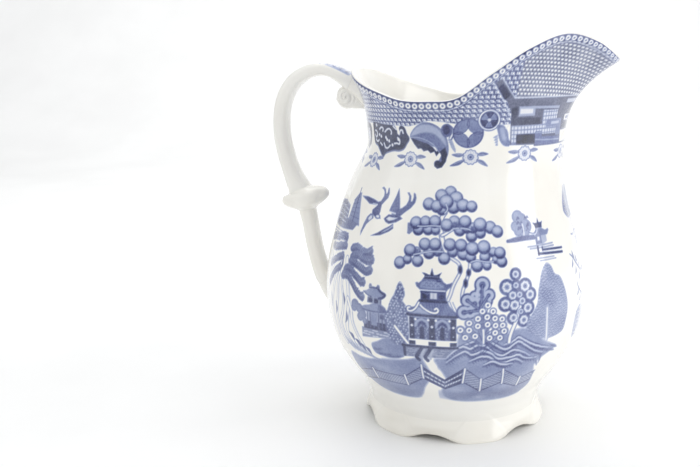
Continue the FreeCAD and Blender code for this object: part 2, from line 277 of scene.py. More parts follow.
    def ring(self, d, z, r=1.05, dot=0.34):
        self.disc(d, z, r + 0.26, 0.74, 0.1)
        self.disc(d, z, r, 0.02)
        self.disc(d, z, dot, 0.8, 0.2, soft=0.2)

    def blob(self, discs, bands, grey=0.0):
        """Union of discs filled by depth below its edge: [(depth, ink), ...]."""
        p = np.array([(a, b) for a, b, _ in discs])
        R = max(c for _, _, c in discs)
        s, X, Z, k = self.win(p.min(0), p.max(0), R + 1.2)
        dist = np.full(X.shape, 1e9)
        for a, b, c in discs:
            dist = np.minimum(dist, np.hypot((X - a) * k, Z - b) - c)
        for depth, ink in bands:
            self.put(s, self.edge(dist + depth, 0.2), ink, grey)

    def flecks(self, mask, step, r, ink, grey=None, jitter=0.35, prob=0.9, long=1.0, tilt=0.0):
        """Small marks spread over a region."""
        jj, ii = np.where(mask > 0.6)
        if not len(jj):
            return
        z0, z1 = self.z[jj.min()], self.z[jj.max()]
        d0, d1 = self.d[ii.min()], self.d[ii.max()]
        row = 0
        z = z0
        while z < z1:
            k = self.kx(z)
            st = step / k
            d = d0 + (0.5 * st if row % 2 else 0)
            while d < d1:
                dj = d + self.rng.uniform(-jitter, jitter) * st
                zj = z + self.rng.uniform(-jitter, jitter) * step * 0.8
                j, i = int((zj - self.z0) / self.dz), int((dj - self.d0) / self.dd)
                if 0 <= j < len(self.z) and 0 <= i < len(self.d) and mask[j, i] > 0.6 \
                        and self.rng.random() < prob:
                    if long > 1:
                        h = 0.5 * r * long
                        c, sn = math.cos(tilt), math.sin(tilt)
                        self.line([(dj - h * c / k, zj - h * sn), (dj + h * c / k, zj + h * sn)],
                                  r, ink, grey if grey is not None else 0.0, smooth=0)
                    else:
                        self.disc(dj, zj, r, ink, grey if grey is not None else 0.0)
                d += st
            z += step * 0.82
            row += 1


# ------------------------------------------------------------ the landscape
def landscape(A):
    W = 0.46
    # ground wash with the path left white
    left = [(-133, 30), (-131, 33.4), (-124, 33), (-118, 33.4), (-112, 34.6), (-106, 35.4),
            (-99, 36.4), (-93, 37.8), (-90.3, 38.6), (-89.2, 37.0), (-87.5, 34), (-86, 31.4),
            (-88, 28), (-90.6, 24.6), (-92.6, 21), (-96, 18.6), (-104, 17.9), (-114, 18.1),
            (-123, 19.4), (-129, 22.4), (-133, 26)]
    A.poly(left, W, 0.1, soft=0.5, smooth=5)
    right = [(-81, 31.8), (-83, 35), (-84.5, 38.2), (-79, 39), (-75.5, 42.2), (-75, 46), (-73, 50),
             (-66, 49), (-60, 47), (-54.5, 47.6), (-50.5, 49), (-45, 48.2), (-40, 45), (-36, 42.2),
             (-31.5, 40.4), (-27.5, 38.4), (-31, 37.0), (-35.5, 35.4), (-38.5, 32.8),
             (-36.5, 28.5), (-35, 23.5), (-37.5, 20.0), (-44, 18.2), (-58, 17.8), (-72, 18.1),
             (-79.6, 19.6), (-82, 22.4), (-81.8, 25), (-79.4, 28)]
    A.poly(right, W - 0.02, 0.08, soft=0.5, smooth=5)
    # darker pools in the wash
    for d, z, r, rz, i in ((-108, 21.4, 9, 2.0, 0.54), (-70, 21.6, 9, 2.2, 0.56),
                           (-52, 21.0, 9, 2.0, 0.53), (-121, 27, 5, 3.5, 0.52),
                           (-101, 33.6, 6, 1.8, 0.50), (-62, 33.2, 6, 1.6, 0.50),
                           (-46, 33.6, 5, 2.4, 0.50), (-78, 35.6, 3.5, 1.2, 0.5)):
        A.disc(d, z, r, i, 0.1, rz=rz, soft=1.6)
    for d, z, r, rz in ((-113, 31.2, 4.5, 0.8), (-74, 24.4, 4, 0.9), (-48, 25.2, 4, 0.8),
                        (-63.0, 19.9, 1.4, 0.7)):
        A.disc(d, z, r, 0.36, 0.05, rz=rz, soft=0.9)
    # fence
    top = [(-131, 25.6), (-118, 28.4), (-99.3, 28.9), (-90.4, 34.6), (-80.6, 29.0), (-72.0, 34.6),
           (-63.7, 28.8), (-54.2, 32.8), (-44, 27.6), (-36, 29.6)]
    bot = [(-131, 21.6), (-118, 24.4), (-99.3, 24.6), (-90.4, 29.2), (-80.6, 24.6), (-72.0, 28.0),
           (-63.7, 23.4), (-54.2, 26.8), (-44, 23.6), (-36, 25.4)]
    for n in range(len(top) - 1):
        quad = [top[n], top[n + 1], bot[n + 1], bot[n]]
        dark = 0.80 if n in (3, 4) else 0.66
        A.poly(quad, dark, 0.45)
        m = A.poly(quad, 0, 0, only_mask=True)
        if n in (3, 4):
            cols = 6 if n == 3 else 7
            for c in range(cols):
                for r_, off in ((0.30, 0.0), (0.70, 0.5)):
                    t = (c + 0.35 + off * 0.6) / cols
                    if t > 0.97:
                        continue
                    x = top[n][0] + (top[n + 1][0] - top[n][0]) * t
                    zt = top[n][1] + (top[n + 1][1] - top[n][1]) * t
                    zb = bot[n][1] + (bot[n + 1][1] - bot[n][1]) * t
                    zc = zb + (zt - zb) * r_
                    w = 0.62 if n == 3 else 0.46
                    sl = (top[n + 1][1] - top[n][1]) / (top[n + 1][0] - top[n][0])
                    A.poly([(x - w, zc - 0.36 - w * sl), (x + w, zc - 0.36 + w * sl),
                            (x + w, zc + 0.36 + w * sl), (x - w, zc + 0.36 - w * sl)], 0.03)
        else:
            s, X, Z, k = A.win((quad[0][0], min(bot[n][1], bot[n + 1][1])),
                               (quad[1][0], max(top[n][1], top[n + 1][1])), 0.5)
            sl = (top[n + 1][1] - top[n][1]) / ((top[n + 1][0] - top[n][0]) * k)
            v = Z - sl * (X - top[n][0]) * k
            u = (X - top[n][0]) * k
            p1 = np.abs(((u + v) / 1.15) % 1.0 - 0.5)
            p2 = np.abs(((u - v) / 1.15) % 1.0 - 0.5)
            lat = np.clip((0.5 - np.minimum(p1, p2)) / 0.5, 0, 1)
            A.put(s, (lat > 0.62) * m[s] * 0.75, 0.24, 0.2)
        A.line([top[n], top[n + 1]], 0.34, 0.85, 0.4, smooth=0)
        A.line([bot[n], bot[n + 1]], 0.38, 0.85, 0.4, smooth=0)
    for a, b in (((-99.4, 29.6), (-99.2, 24.8)), ((-90.4, 35.2), (-90.3, 29.2)),
                 ((-71.7, 34.4), (-72.4, 27.8)), ((-64.1, 29.4), (-63.5, 23.4)),
                 ((-54.6, 33.2), (-53.0, 26.2)), ((-118.2, 29), (-117.8, 24.6)),
                 ((-43.9, 28.2), (-43.6, 24))):
        A.line([a, b], 1.25, 0.72, 0.3, smooth=0)
        A.line([a, b], 0.72, 0.04, 0.0, smooth=0)
    # bank under the small pagoda
    A.poly([(-113.4, 40.6), (-110, 42.2), (-105, 44.4), (-99, 44), (-96.8, 41.5), (-97, 38.8),
            (-100, 37.4), (-106, 36.6), (-112, 37.2)], 0.50, 0.1, soft=0.3, smooth=4)
    for n, (a, b) in enumerate((((-111, 37.4), (-103, 38)), ((-107, 36.8), (-98, 38)),
                                ((-112.5, 39), (-108, 39.4)))):
        A.line([a, ((a[0] + b[0]) / 2, (a[1] + b[1]) / 2 - 0.3), b], 1.0, 0.68, 0.15,
               soft=0.4, taper=(0.2, 0.2))
    # rocks
    ridges = [
        [(-56, 43.4), (-53, 44.0), (-50, 45.2), (-47, 44.2), (-43, 42.6), (-38, 41.2), (-33, 40.2)],
        [(-74, 43.4), (-71, 44.4), (-67, 45.4), (-63, 45.2), (-59, 43.4), (-55, 42.2), (-50, 44.0),
         (-46, 42.6), (-41, 40.4), (-36, 39.2)],
        [(-80, 39.4), (-76.5, 41.8), (-73, 43.2), (-70, 42.6), (-66.5, 43.6), (-63, 42.8), (-60, 41.0),
         (-56, 40.0), (-52, 41.2), (-48, 40.6), (-43, 38.6)],
        [(-79.5, 37.8), (-76, 39.8), (-72, 41.2), (-69, 40.2), (-65, 41.2), (-61, 40.2), (-58, 38.6),
         (-53, 38.6), (-49, 39.0), (-45, 37.6), (-39, 37.0)],
        [(-70, 37.8), (-66, 39.0), (-62, 38.8), (-58, 37.0), (-54, 36.8), (-50, 37.4), (-46, 36.0)],
        [(-64, 36.0), (-60, 37.0), (-56, 35.8), (-51, 35.6)],
    ]
    for r in ridges:
        mid = sum(b for _, b in r) / len(r)
        r = [(a, mid + 1.35 * (b - mid)) for a, b in r]
        r = [(float(a), float(b + A.rng.uniform(-0.10, 0.10))) for a, b in resample(r, 4)]
        low = [(a, b - 0.95) for a, b in r]
        A.line(low, 1.7, 0.74, 0.2, soft=0.55, taper=(0.2, 0.2))
        A.line([(a, b - 0.25) for a, b in r], 1.0, 0.13, 0.0, soft=0.3, taper=(0.3, 0.3))
        A.line([(a, b + 0.32) for a, b in r], 0.42, 0.78, 0.15, soft=0.2, taper=(0.3, 0.3))
        for a, b in r[1:-1]:
            A.line([(a, b - 0.9), (a + 0.9, b - 2.0)], 0.16, 0.86, 0.2, smooth=0, soft=0.12)
    # willow tree, far left: drooping strands, then the leaf bundles
    rng = A.rng
    trunks = [
        ([(-133.4, 70.5), (-134.4, 66.5), (-135.0, 60.4), (-134.6, 55), (-136.2, 48.8), (-135.4, 42.6),
          (-131.4, 37.4)], 1.5),
        ([(-134.0, 68.0), (-137.6, 62.6), (-139.8, 56.4), (-141.0, 50.6), (-140.4, 44.4), (-138.6, 39.4)], 1.3),
        ([(-143.0, 66.0), (-146.6, 61.0), (-149.6, 53.6), (-148.8, 47.0), (-146.0, 41.4)], 1.4),
        ([(-130.0, 70.5), (-128.2, 64.4), (-126.4, 58.9), (-126.0, 53.4), (-127.6, 47.6), (-128.4, 42.4),
          (-124.4, 37.4)], 1.7),
        ([(-131.0, 66.0), (-131.6, 60.6), (-129.8, 55.4), (-130.6, 50.2), (-132.8, 46.0), (-131.8, 41.8),
          (-128.4, 38.0)], 1.1),
        ([(-126.6, 56.0), (-124.4, 51.6), (-124.0, 47.0), (-121.6, 42.4), (-118.6, 38.6)], 1.3),
        ([(-152.0, 69.0), (-154.4, 62.0), (-155.4, 54.0), (-153.0, 46.0)], 1.3),
    ]
    for pts, w in trunks:
        A.cord(pts, w, 0.02, 0.60, 0.55, rim=0.17)
        A.line([(x + 0.5, z - 0.6) for x, z in pts[1:-1]], 0.16, 0.40, 0.5, soft=0.12)
    for a, b in (((-133.4, 71.0), (-135.0, 64.6)), ((-130.2, 57.4), (-129.4, 52.6)),
                 ((-137.0, 53.0), (-137.6, 47.4)), ((-127.8, 51.0), (-129.6, 45.6)),
                 ((-143.2, 55.4), (-143.4, 49.0)), ((-147.2, 69.6), (-148.2, 63.8))):
        A.leaf(a, b, 1.25, 0.62, 0.45)
    bundles = [
        [(-127.6, 74.4), (-124, 75.0), (-120, 73.9), (-117, 74.0), (-114.8, 74.9)],
        [(-126.8, 71.6), (-123, 72.4), (-119.5, 71.6), (-116, 71.2), (-113.4, 72.0)],
        [(-127.4, 69.8), (-124, 69.4), (-120, 68.2), (-116.5, 67.4), (-113.6, 68.3)],
        [(-130.4, 66.4), (-127.6, 67.0), (-124.6, 66.2)],
        [(-124.2, 65.6), (-121.6, 64.4), (-119, 63.2), (-117, 63.5)],
        [(-131.8, 63.8), (-128, 64.3), (-124.4, 62.2), (-121.4, 59.6), (-118.6, 58.0), (-117, 58.2)],
        [(-133.5, 77.6), (-138, 77.8), (-143, 76.6), (-148, 76.2), (-154, 75.2)],
        [(-132.8, 74.6), (-138, 73.8), (-144, 72.6), (-150, 72.2)],
        [(-134, 70.6), (-139, 69.2), (-145, 66.8), (-149, 65.6)],
        [(-135, 66.4), (-140, 64.0), (-144, 60.6), (-147, 58.2)],
    ]
    for b in bundles:
        p = resample(b, 7)
        A.line(b, 2.2, 0.60, 0.18, soft=0.2)
        for x, z in p:
            A.leaf((x - 0.5, z + 0.6), (x + 0.8 * rng.uniform(0.2, 1.0), z + 1.5 * rng.uniform(0.9, 1.25)),
                   0.8, 0.60, 0.2)
            A.leaf((x + 0.4, z - 0.6), (x + 0.7 * rng.uniform(0.2, 1.0), z - 1.4 * rng.uniform(0.9, 1.25)),
                   0.8, 0.66, 0.2)
        A.line([(x, z - 0.65) for x, z in b], 0.8, 0.72, 0.2, soft=0.35)
        for x, z in p[::2]:
            A.line([(x - 0.35, z - 1.05), (x + 0.35, z + 1.05)], 0.22, 0.72, 0.25, smooth=0)
        for x, z in p[1::2]:
            A.line([(x - 0.2, z + 0.1), (x + 0.3, z + 0.9)], 0.15, 0.40, 0.1, smooth=0)
    # roots and tufts left of the pagoda
    for n in range(9):
        x = -133 + n * 2.0
        A.line([(x, 40 - 0.3 * n), (x + 3, 37.6 - 0.3 * n), (x + 7, 35.4 - 0.15 * n)], 0.5, 0.42,
               0.3, soft=0.25, taper=(0.2, 0.3))
    for x, z in ((-122.4, 38.8), (-119.6, 37.6), (-116.4, 36.8), (-126, 40.8)):
        A.leaf((x - 1.6, z + 1.6), (x + 1.6, z - 1.2), 1.5, 0.66, 0.3)
    # sail and boat at the far left
    A.poly([(-132.8, 94.2), (-130.8, 94.4), (-126.2, 82.6), (-137.4, 84.2), (-136.0, 91.6)],
           0.50, 0.1, soft=0.25)
    for n in range(6):
        t = n / 5.0
        A.line([(-136 + 1.2 * t - 0.4, 91.2 - 7.0 * t), (-131.6 + 5.0 * t, 92.8 - 9.6 * t)], 0.28,
               0.66, 0.15, smooth=0)
    A.line([(-132.6, 96), (-132.4, 81)], 0.4, 0.8, 0.3, smooth=0)
    A.poly([(-160, 89.2), (-148, 90.2), (-139.5, 89.0), (-138.4, 84.4), (-127.2, 83.4),
            (-130.2, 80.8), (-140, 80.2), (-152, 80.0), (-160, 81.2)], 0.60, 0.3, soft=0.25)
    for n in range(4):
        A.line([(-160, 82.4 + n * 1.7), (-149, 82.8 + n * 1.7), (-139.5, 82.6 + n * 1.5)], 0.42,
               0.22, 0.2)
    for n in range(4):
        A.line([(-158 + 3 * n, 78.6 - 0.9 * n), (-140 + 2 * n, 79.0 - 0.9 * n)], 0.34, 0.42, 0.2,
               taper=(0.1, 0.1), smooth=0)
    # small pagoda
    A.poly([(-118.4, 42.6), (-118, 46.6), (-103, 47.2), (-103, 44.6)], 0.50, 0.35, soft=0.2)
    m = A.poly([(-118.2, 42.8), (-117.8, 46.0), (-103, 46.4), (-103, 44.8)], 0, only_mask=True)
    A.flecks(m, 1.35, 0.42, 0.12, 0.2, jitter=0.12, long=2.3, tilt=0.1)
    A.poly([(-116.8, 46.4), (-116.4, 49.8), (-104, 50.2), (-104, 47.0)], 0.84, 0.6)
    A.poly([(-114.6, 49.6), (-114.4, 53.6), (-104.4, 54), (-104.4, 49.8)], 0.36, 0.3)
    for x in (-114.3, -112.6, -110.8, -108.2, -106.4, -104.7):
        A.line([(x, 47.4), (x, 53.4)], 0.5, 0.66, 0.4, smooth=0)
    A.poly([(-112.2, 48.2), (-112.2, 53), (-109.0, 53), (-109.0, 48.2)], 0.46, 0.15)
    A.poly([(-107.6, 51.2), (-107.6, 53), (-105, 53), (-105, 51.2)], 0.7, 0.4)
    A.poly([(-118.4, 54.2), (-116, 55.2), (-113.2, 55.8), (-110.4, 56.9), (-107.2, 57.0),
            (-105, 55.8), (-104.0, 54.4), (-104.6, 53.4), (-110, 53.2), (-116.4, 53.0)],
           0.48, 0.15, soft=0.2)
    A.poly([(-108, 56.6), (-105, 55.6), (-104.2, 54.2), (-106.5, 53.8), (-108.6, 54.6)], 0.66, 0.2)
    A.line([(-117.6, 53.7), (-111, 53.6), (-104.6, 54.2)], 0.36, 0.8, 0.3)
    A.poly([(-114.2, 56.6), (-114, 58.8), (-106.8, 58.9), (-106.8, 56.8)], 0.62, 0.5)
    for x in (-112.4, -109.4):
        A.disc(x, 57.6, 0.95, 0.9, 0.5, rz=0.75)
        A.line([(x + 1.5, 56.8), (x + 1.5, 58.6)], 0.3, 0.25, 0.2, smooth=0)
    A.poly([(-116.8, 60.4), (-114.8, 60.9), (-113, 62.0), (-111.6, 62.8), (-109.2, 62.6),
            (-107.4, 61.4), (-105.6, 60.9), (-104.6, 60.3), (-105.8, 59.4), (-107.6, 58.7),
            (-112.8, 58.9), (-115.2, 59.6)], 0.46, 0.15, soft=0.2)
    A.line([(-109.2, 62.6), (-107.2, 61.2), (-105.2, 60.4), (-106.4, 59.2), (-108, 58.8)], 0.9, 0.82, 0.3)
    A.line([(-116.6, 60.3), (-114.4, 59.4), (-112, 58.9)], 0.36, 0.78, 0.3)
    A.line([(-113.4, 62.2), (-108.2, 62.4)], 0.5, 0.78, 0.3, smooth=0)
    for x in (-112.9, -108.7):
        A.poly([(x - 0.9, 62.6), (x - 0.5, 63.6), (x + 0.5, 63.5), (x + 0.9, 62.6)], 0.6, 0.3)
    A.blob([(-121.6, 54.4, 2.1), (-119, 53.4, 1.9), (-117, 51.6, 1.9), (-118.8, 50.2, 1.6),
            (-116, 49.2, 1.3), (-122.4, 53.2, 1.5)], [(0, 0.62), (0.5, 0.52)], 0.25)
    # dotted conifer
    cone = [(-98.7, 65.9), (-97.1, 63.8), (-96.4, 61.4), (-97.2, 59.2), (-95.4, 56.8), (-94.8, 52),
            (-94.6, 47.4), (-95.6, 43.6), (-100.6, 42.6), (-103.4, 44.6), (-104.4, 48.6),
            (-105.6, 52.4), (-103.8, 55.2), (-102.6, 58.6), (-100.8, 61.6), (-99.9, 64.2)]
    A.poly(cone, 0.60, 0.2, soft=0.25, smooth=3)
    m = A.poly(cone, 0, only_mask=True, smooth=3)
    A.flecks(m, 1.25, 0.30, 0.14, 0.1, jitter=0.22)
    A.flecks(m, 2.3, 0.22, 0.86, 0.4, jitter=0.3, long=3.0, tilt=0.9)
    A.line([(-100.8, 49.8), (-98.6, 47.2), (-96.4, 44.8), (-95.0, 43.4)], 1.5, 0.6, 0.3)
    A.line([(-100.6, 49.6), (-98.4, 47.2), (-96.3, 44.8), (-95.0, 43.4)], 1.0, 0.03, 0.0)
    # pavilion
    A.poly([(-97.4, 38.4), (-97.4, 43.2), (-75.6, 43.2), (-78.6, 40.6), (-79.6, 38.8)], 0.50, 0.45)
    m = A.poly([(-96.2, 38.8), (-96.2, 42), (-78, 42), (-79, 38.8)], 0, only_mask=True)
    A.flecks(m, 1.05, 0.24, 0.26, 0.4, jitter=0.3, long=2.4, tilt=0.2)
    A.flecks(m, 1.5, 0.22, 0.74, 0.5, jitter=0.3, long=2.6, tilt=-0.3)
    A.line([(-97.6, 42.7), (-75.0, 42.9)], 0.95, 0.86, 0.75, smooth=0)
    A.line([(-97.0, 42.4), (-97.0, 38.8)], 1.0, 0.84, 0.75, smooth=0)
    for x in (0.0, 3.7):
        A.line([(-91.0 + x, 37.4), (-92.0 + x, 38.6), (-91.0 + x, 40.2), (-89.4 + x, 42.4)], 1.35,
               0.84, 0.7)
        A.line([(-89.8 + x, 38.2), (-89.6 + x, 39.8), (-88.6 + x, 41.6)], 0.9, 0.3, 0.4)
    A.poly([(-94.8, 43.3), (-94.8, 45.8), (-75.4, 45.8), (-75.4, 43.3)], 0.02, 0.0, soft=0.12)
    for a, b in ((-94.7, -92.1), (-86.6, -83.6), (-78.0, -75.4)):
        A.poly([(a, 43.4), (a, 44.9), (b, 44.9), (b, 43.4)], 0.88, 0.8, soft=0.12)
    A.poly([(-94.3, 45.7), (-94.3, 54.8), (-75.6, 54.8), (-75.6, 45.7)], 0.72, 0.25, soft=0.12)
    for cx in (-89.2, -81.0):
        A.poly([(cx - 2.9, 45.8), (cx - 2.9, 51.5), (cx + 2.9, 51.5), (cx + 2.9, 45.8)], 0.64, 0.3)
        m = A.poly([(cx - 2.7, 46), (cx - 2.7, 51), (cx + 2.7, 51), (cx + 2.7, 46)], 0, only_mask=True)
        A.flecks(m, 0.95, 0.24, 0.26, 0.2, jitter=0.3)
        A.poly([(cx - 0.95, 45.8), (cx - 0.95, 50.0), (cx, 50.8), (cx + 0.95, 50.0),
                (cx + 0.95, 45.8)], 0.84, 0.6)
        A.line([(cx - 2.7, 50.6), (cx - 2.0, 52.1), (cx, 53.1), (cx + 2.0, 52.1), (cx + 2.7, 50.6)],
               0.95, 0.36, 0.05)
        A.line([(cx - 1.5, 50.9), (cx, 52.0), (cx + 1.5, 50.9)], 0.6, 0.8, 0.2)
        A.line([(cx - 2.9, 53.4), (cx, 54.1), (cx + 2.9, 53.4)], 0.5, 0.5, 0.1)
    for a, b in ((-94.3, -92.3), (-86.3, -83.9), (-77.8, -75.7)):
        A.poly([(a, 45.7), (a, 54.8), (b, 54.8), (b, 45.7)], 0.86, 0.8, soft=0.12)
    for x, z in ((-93.3, 50.7), (-85.1, 50.6), (-76.7, 50.6), (-91.8, 53.0), (-86.6, 53.0),
                 (-83.5, 53.0), (-78.2, 53.0), (-85.1, 47.0), (-93.3, 47.2), (-76.7, 47.2)):
        r = 0.62 if z > 48 else 0.28
        k = A.kx(z)
        A.poly([(x - r / k, z), (x, z + r), (x + r / k, z), (x, z - r)], 0.03, 0.0, soft=0.12)
    A.line([(-94.8, 54.7), (-75.2, 54.7)], 1.25, 0.88, 0.7, smooth=0)
    A.line([(-94.2, 53.9), (-75.8, 53.9)], 0.22, 0.3, 0.2, smooth=0)
    A.poly([(-95.4, 56.0), (-94.4, 57.2), (-92.2, 57.6), (-90.9, 59.0), (-90.2, 60.2),
            (-79.2, 60.2), (-78.4, 58.6), (-76.4, 56.6), (-74.9, 55.6), (-75.8, 55.0),
            (-94.4, 55.0)], 0.60, 0.02, soft=0.15)
    A.poly([(-94.2, 55.2), (-93.2, 56.2), (-91.2, 57.4), (-88.6, 57.4), (-86.8, 56.2), (-86, 55.2)],
           0.34, 0.0, soft=0.4)
    for n in range(11):
        x = -87.5 + n * 1.05
        A.line([(x, 59.8), (x + 0.9 + 0.12 * n, 55.5)], 0.2, 0.74, 0.05, smooth=0)
    A.line([(-90.2, 58.6), (-88.8, 57.4), (-87.0, 56.4), (-85.2, 55.8), (-83.4, 55.8),
            (-82.6, 56.6), (-83.2, 57.4), (-84.0, 57.0)], 1.25, 0.75, 0.1)
    A.line([(-90.2, 58.6), (-88.8, 57.4), (-87.0, 56.4), (-85.2, 55.8), (-83.4, 55.8),
            (-82.6, 56.6), (-83.2, 57.4), (-84.0, 57.0)], 0.75, 0.04, 0.0)
    A.line([(-90.4, 59.2), (-91.6, 57.2), (-93.2, 56.0), (-94.8, 56.0), (-95.0, 57.0),
            (-94.2, 57.2)], 1.2, 0.75, 0.1)
    A.line([(-90.4, 59.2), (-91.6, 57.2), (-93.2, 56.0), (-94.8, 56.0), (-95.0, 57.0),
            (-94.2, 57.2)], 0.7, 0.04, 0.0)
    A.poly([(-89.8, 59.4), (-89.8, 63.3), (-79.6, 63.3), (-79.6, 59.4)], 0.80, 0.15, soft=0.12)
    A.line([(-90.0, 59.8), (-79.4, 59.8)], 0.95, 0.92, 0.5, smooth=0)
    A.poly([(-86.0, 60.6), (-86.0, 63.0), (-83.1, 63.0), (-83.1, 60.6)], 0.24, 0.3, soft=0.12)
    for x in (-85.3, -83.8):
        A.line([(x, 60.8), (x, 62.8)], 0.34, 0.06, 0.0, smooth=0)
    for x in (-88.2, -81.2):
        A.disc(x, 61.4, 0.9, 0.93, 0.4, rz=0.8)
    A.line([(-89.2, 62.9), (-87, 62.3), (-86.2, 62.8)], 0.24, 0.4, 0.1)
    A.poly([(-92.2, 66.0), (-91.6, 64.7), (-90.4, 63.9), (-89.6, 63.0), (-79.8, 63.0),
            (-78.8, 64.2), (-77.6, 65.0), (-77.2, 66.6), (-78.0, 66.2), (-79.4, 65.9), (-80.6, 66.6),
            (-81.6, 67.9), (-88.8, 67.9), (-89.6, 66.8), (-90.8, 65.9), (-91.4, 66.2)],
           0.66, 0.05, soft=0.14)
    A.poly([(-90.2, 64.6), (-88.6, 66.9), (-85, 67.0), (-82.2, 66.4), (-80.4, 65), (-82, 64.4),
            (-88, 64.2)], 0.42, 0.0, soft=0.4, smooth=3)
    for n in range(4):
        for j in range(3):
            x = -88.4 + n * 1.9 + (j % 2) * 0.9
            z = 64.9 + j * 0.85
            A.line([(x - 0.55, z), (x, z + 0.42), (x + 0.55, z)], 0.2, 0.72, 0.05)
    A.line([(-89.9, 63.55), (-80.0, 63.55)], 0.45, 0.06, 0.0, smooth=0)
    A.line([(-89.9, 63.0), (-79.8, 63.0)], 0.35, 0.85, 0.2, smooth=0)
    A.line([(-83.8, 67.6), (-83.0, 66.9), (-82.0, 66.8)], 0.5, 0.85, 0.1)
    A.poly([(-88.6, 67.5), (-88.4, 68.7), (-89.6, 69.6), (-88.2, 69.4), (-86.9, 69.0), (-86.1, 68.8),
            (-85.9, 69.6), (-85.4, 71.2), (-84.9, 69.6), (-84.5, 68.8), (-83.2, 69.0), (-81.7, 69.7),
            (-81.4, 69.9), (-82.2, 68.7), (-82.2, 67.5)], 0.90, 0.45, soft=0.14)
    A.line([(-88.0, 68.3), (-82.6, 68.3)], 0.3, 0.5, 0.2, smooth=0)
    # trunks
    A.cord([(-80.5, 90.0), (-81.6, 88.8), (-82.3, 87.0), (-82.2, 84.6), (-81.8, 82.2), (-81.2, 80.2),
            (-80.4, 78.2), (-79.5, 76.6), (-78.2, 75.2)], 1.25, 0.04, 0.72, 0.15)
    A.cord([(-81.6, 82.4), (-80.2, 82.9), (-78.6, 83.8), (-76.6, 84.7)], 0.75, 0.04, 0.66, 0.1)
    A.cord([(-78.4, 75.3), (-76.8, 74.4), (-75.0, 73.4), (-74.1, 72.2), (-73.9, 70.6), (-74.6, 69.0),
            (-75.9, 67.0), (-77.0, 64.9), (-77.8, 62.6), (-78.8, 60.4)], 0.78, 0.06, 0.66, 0.2, rim=0.24)
    A.cord([(-69.9, 73.2), (-70.2, 71.2), (-70.9, 69.0), (-71.8, 66.6), (-72.8, 64.4), (-73.3, 62.2),
            (-73.4, 60.2)], 0.8, 0.06, 0.66, 0.2, rim=0.24)
    for x, z, h in ((-74.0, 71.0, 1.5), (-70.6, 69.9, 1.3), (-71.9, 66.3, 1.6)):
        A.disc(x, z, 0.85, 0.70, 0.2, rz=h)
        A.disc(x, z, 0.42, 0.93, 0.35, rz=h * 0.6)
    # fruit tree
    rows = [
        (-82.0, 90.9, 1.8, 0.9), (-78.0, 97.0, 2.0, 0), (-82.3, 95.7, 2.2, 0), (-75.4, 94.9, 2.3, 0),
        (-88.3, 92.8, 2.1, 0), (-84.4, 92.1, 2.1, 0), (-76.7, 91.9, 2.2, 0), (-72.3, 92.4, 2.2, 0),
        (-68.3, 92.0, 1.9, 0), (-80.0, 93.7, 2.4, 0),
        (-92.4, 84.1, 2.0, 0), (-87.9, 84.2, 1.9, 0), (-84.6, 84.0, 1.6, 0), (-93.8, 86.3, 2.1, 0),
        (-89.4, 86.7, 2.0, 0), (-85.0, 86.9, 2.1, 0),
        (-74.0, 84.1, 1.9, 0), (-68.9, 82.0, 1.9, 0), (-65.0, 83.1, 1.9, 0), (-70.9, 84.7, 1.7, 0),
        (-68.2, 84.8, 1.8, 0), (-76.3, 87.0, 2.0, 0), (-71.5, 86.9, 2.1, 0), (-79.7, 85.8, 2.1, 0),
        (-60.3, 84.7, 2.1, 0), (-57.2, 83.2, 2.0, 0), (-64.8, 85.8, 2.3, 0),
        (-99.5, 72.4, 2.1, 0), (-96.2, 73.7, 1.6, 0), (-91.7, 73.4, 2.0, 0), (-92.6, 76.6, 1.6, 0),
        (-95.4, 76.9, 2.1, 0), (-80.5, 74.6, 2.0, 0), (-87.0, 76.3, 2.0, 0), (-83.4, 77.0, 1.7, 0),
        (-89.0, 79.2, 2.1, 0), (-84.5, 79.3, 2.1, 0),
        (-77.0, 76.9, 1.8, 0), (-72.6, 76.1, 2.0, 0), (-69.6, 75.0, 1.8, 0), (-78.2, 79.3, 2.1, 0),
        (-73.5, 79.1, 2.1, 0), (-67.0, 72.0, 2.0, 0), (-62.9, 71.9, 1.5, 0), (-63.6, 75.0, 1.9, 0),
        (-59.8, 76.3, 1.7, 0), (-59.0, 73.7, 1.3, 0), (-56.5, 73.0, 1.9, 0), (-57.0, 76.0, 2.0, 0),
        (-68.8, 77.9, 2.3, 0), (-63.8, 78.2, 2.3, 0),
    ]
    A.poly([(-97.7, 86.2), (-95.4, 86.2), (-95.0, 83.4), (-96.4, 82.3), (-97.4, 82.6)], 0.56, 0.1)
    for d, z, r, dk in rows:
        A.fruit(d, z, r, dk or 0.84)
    for b in ([(-82.4, 85.4), (-86, 85.5), (-90, 85.2), (-93, 85.2)],
              [(-81.0, 76.9), (-85, 76.9), (-89, 76.4), (-93.6, 75.5)],
              [(-76.8, 84.7), (-73.5, 84.8), (-70.6, 84.5), (-69.2, 84.1)],
              [(-69.6, 73.4), (-67.0, 73.9), (-63.6, 73.3), (-60.2, 73.2)],
              [(-80.2, 93.0), (-79.4, 91.2), (-80.6, 89.8)]):
        A.line(b, 0.75, 0.78, 0.15)
        A.line(b, 0.36, 0.06, 0.0)
    for x, z in ((-74.2, 85.7), (-92.6, 76.8), (-68.4, 84.6), (-76.0, 86.2)):
        for n in range(5):
            a = n * 1.257 + x
            A.leaf((x, z), (x + 1.1 * math.cos(a), z + 1.0 * math.sin(a)), 0.6, 0.72, 0.1)
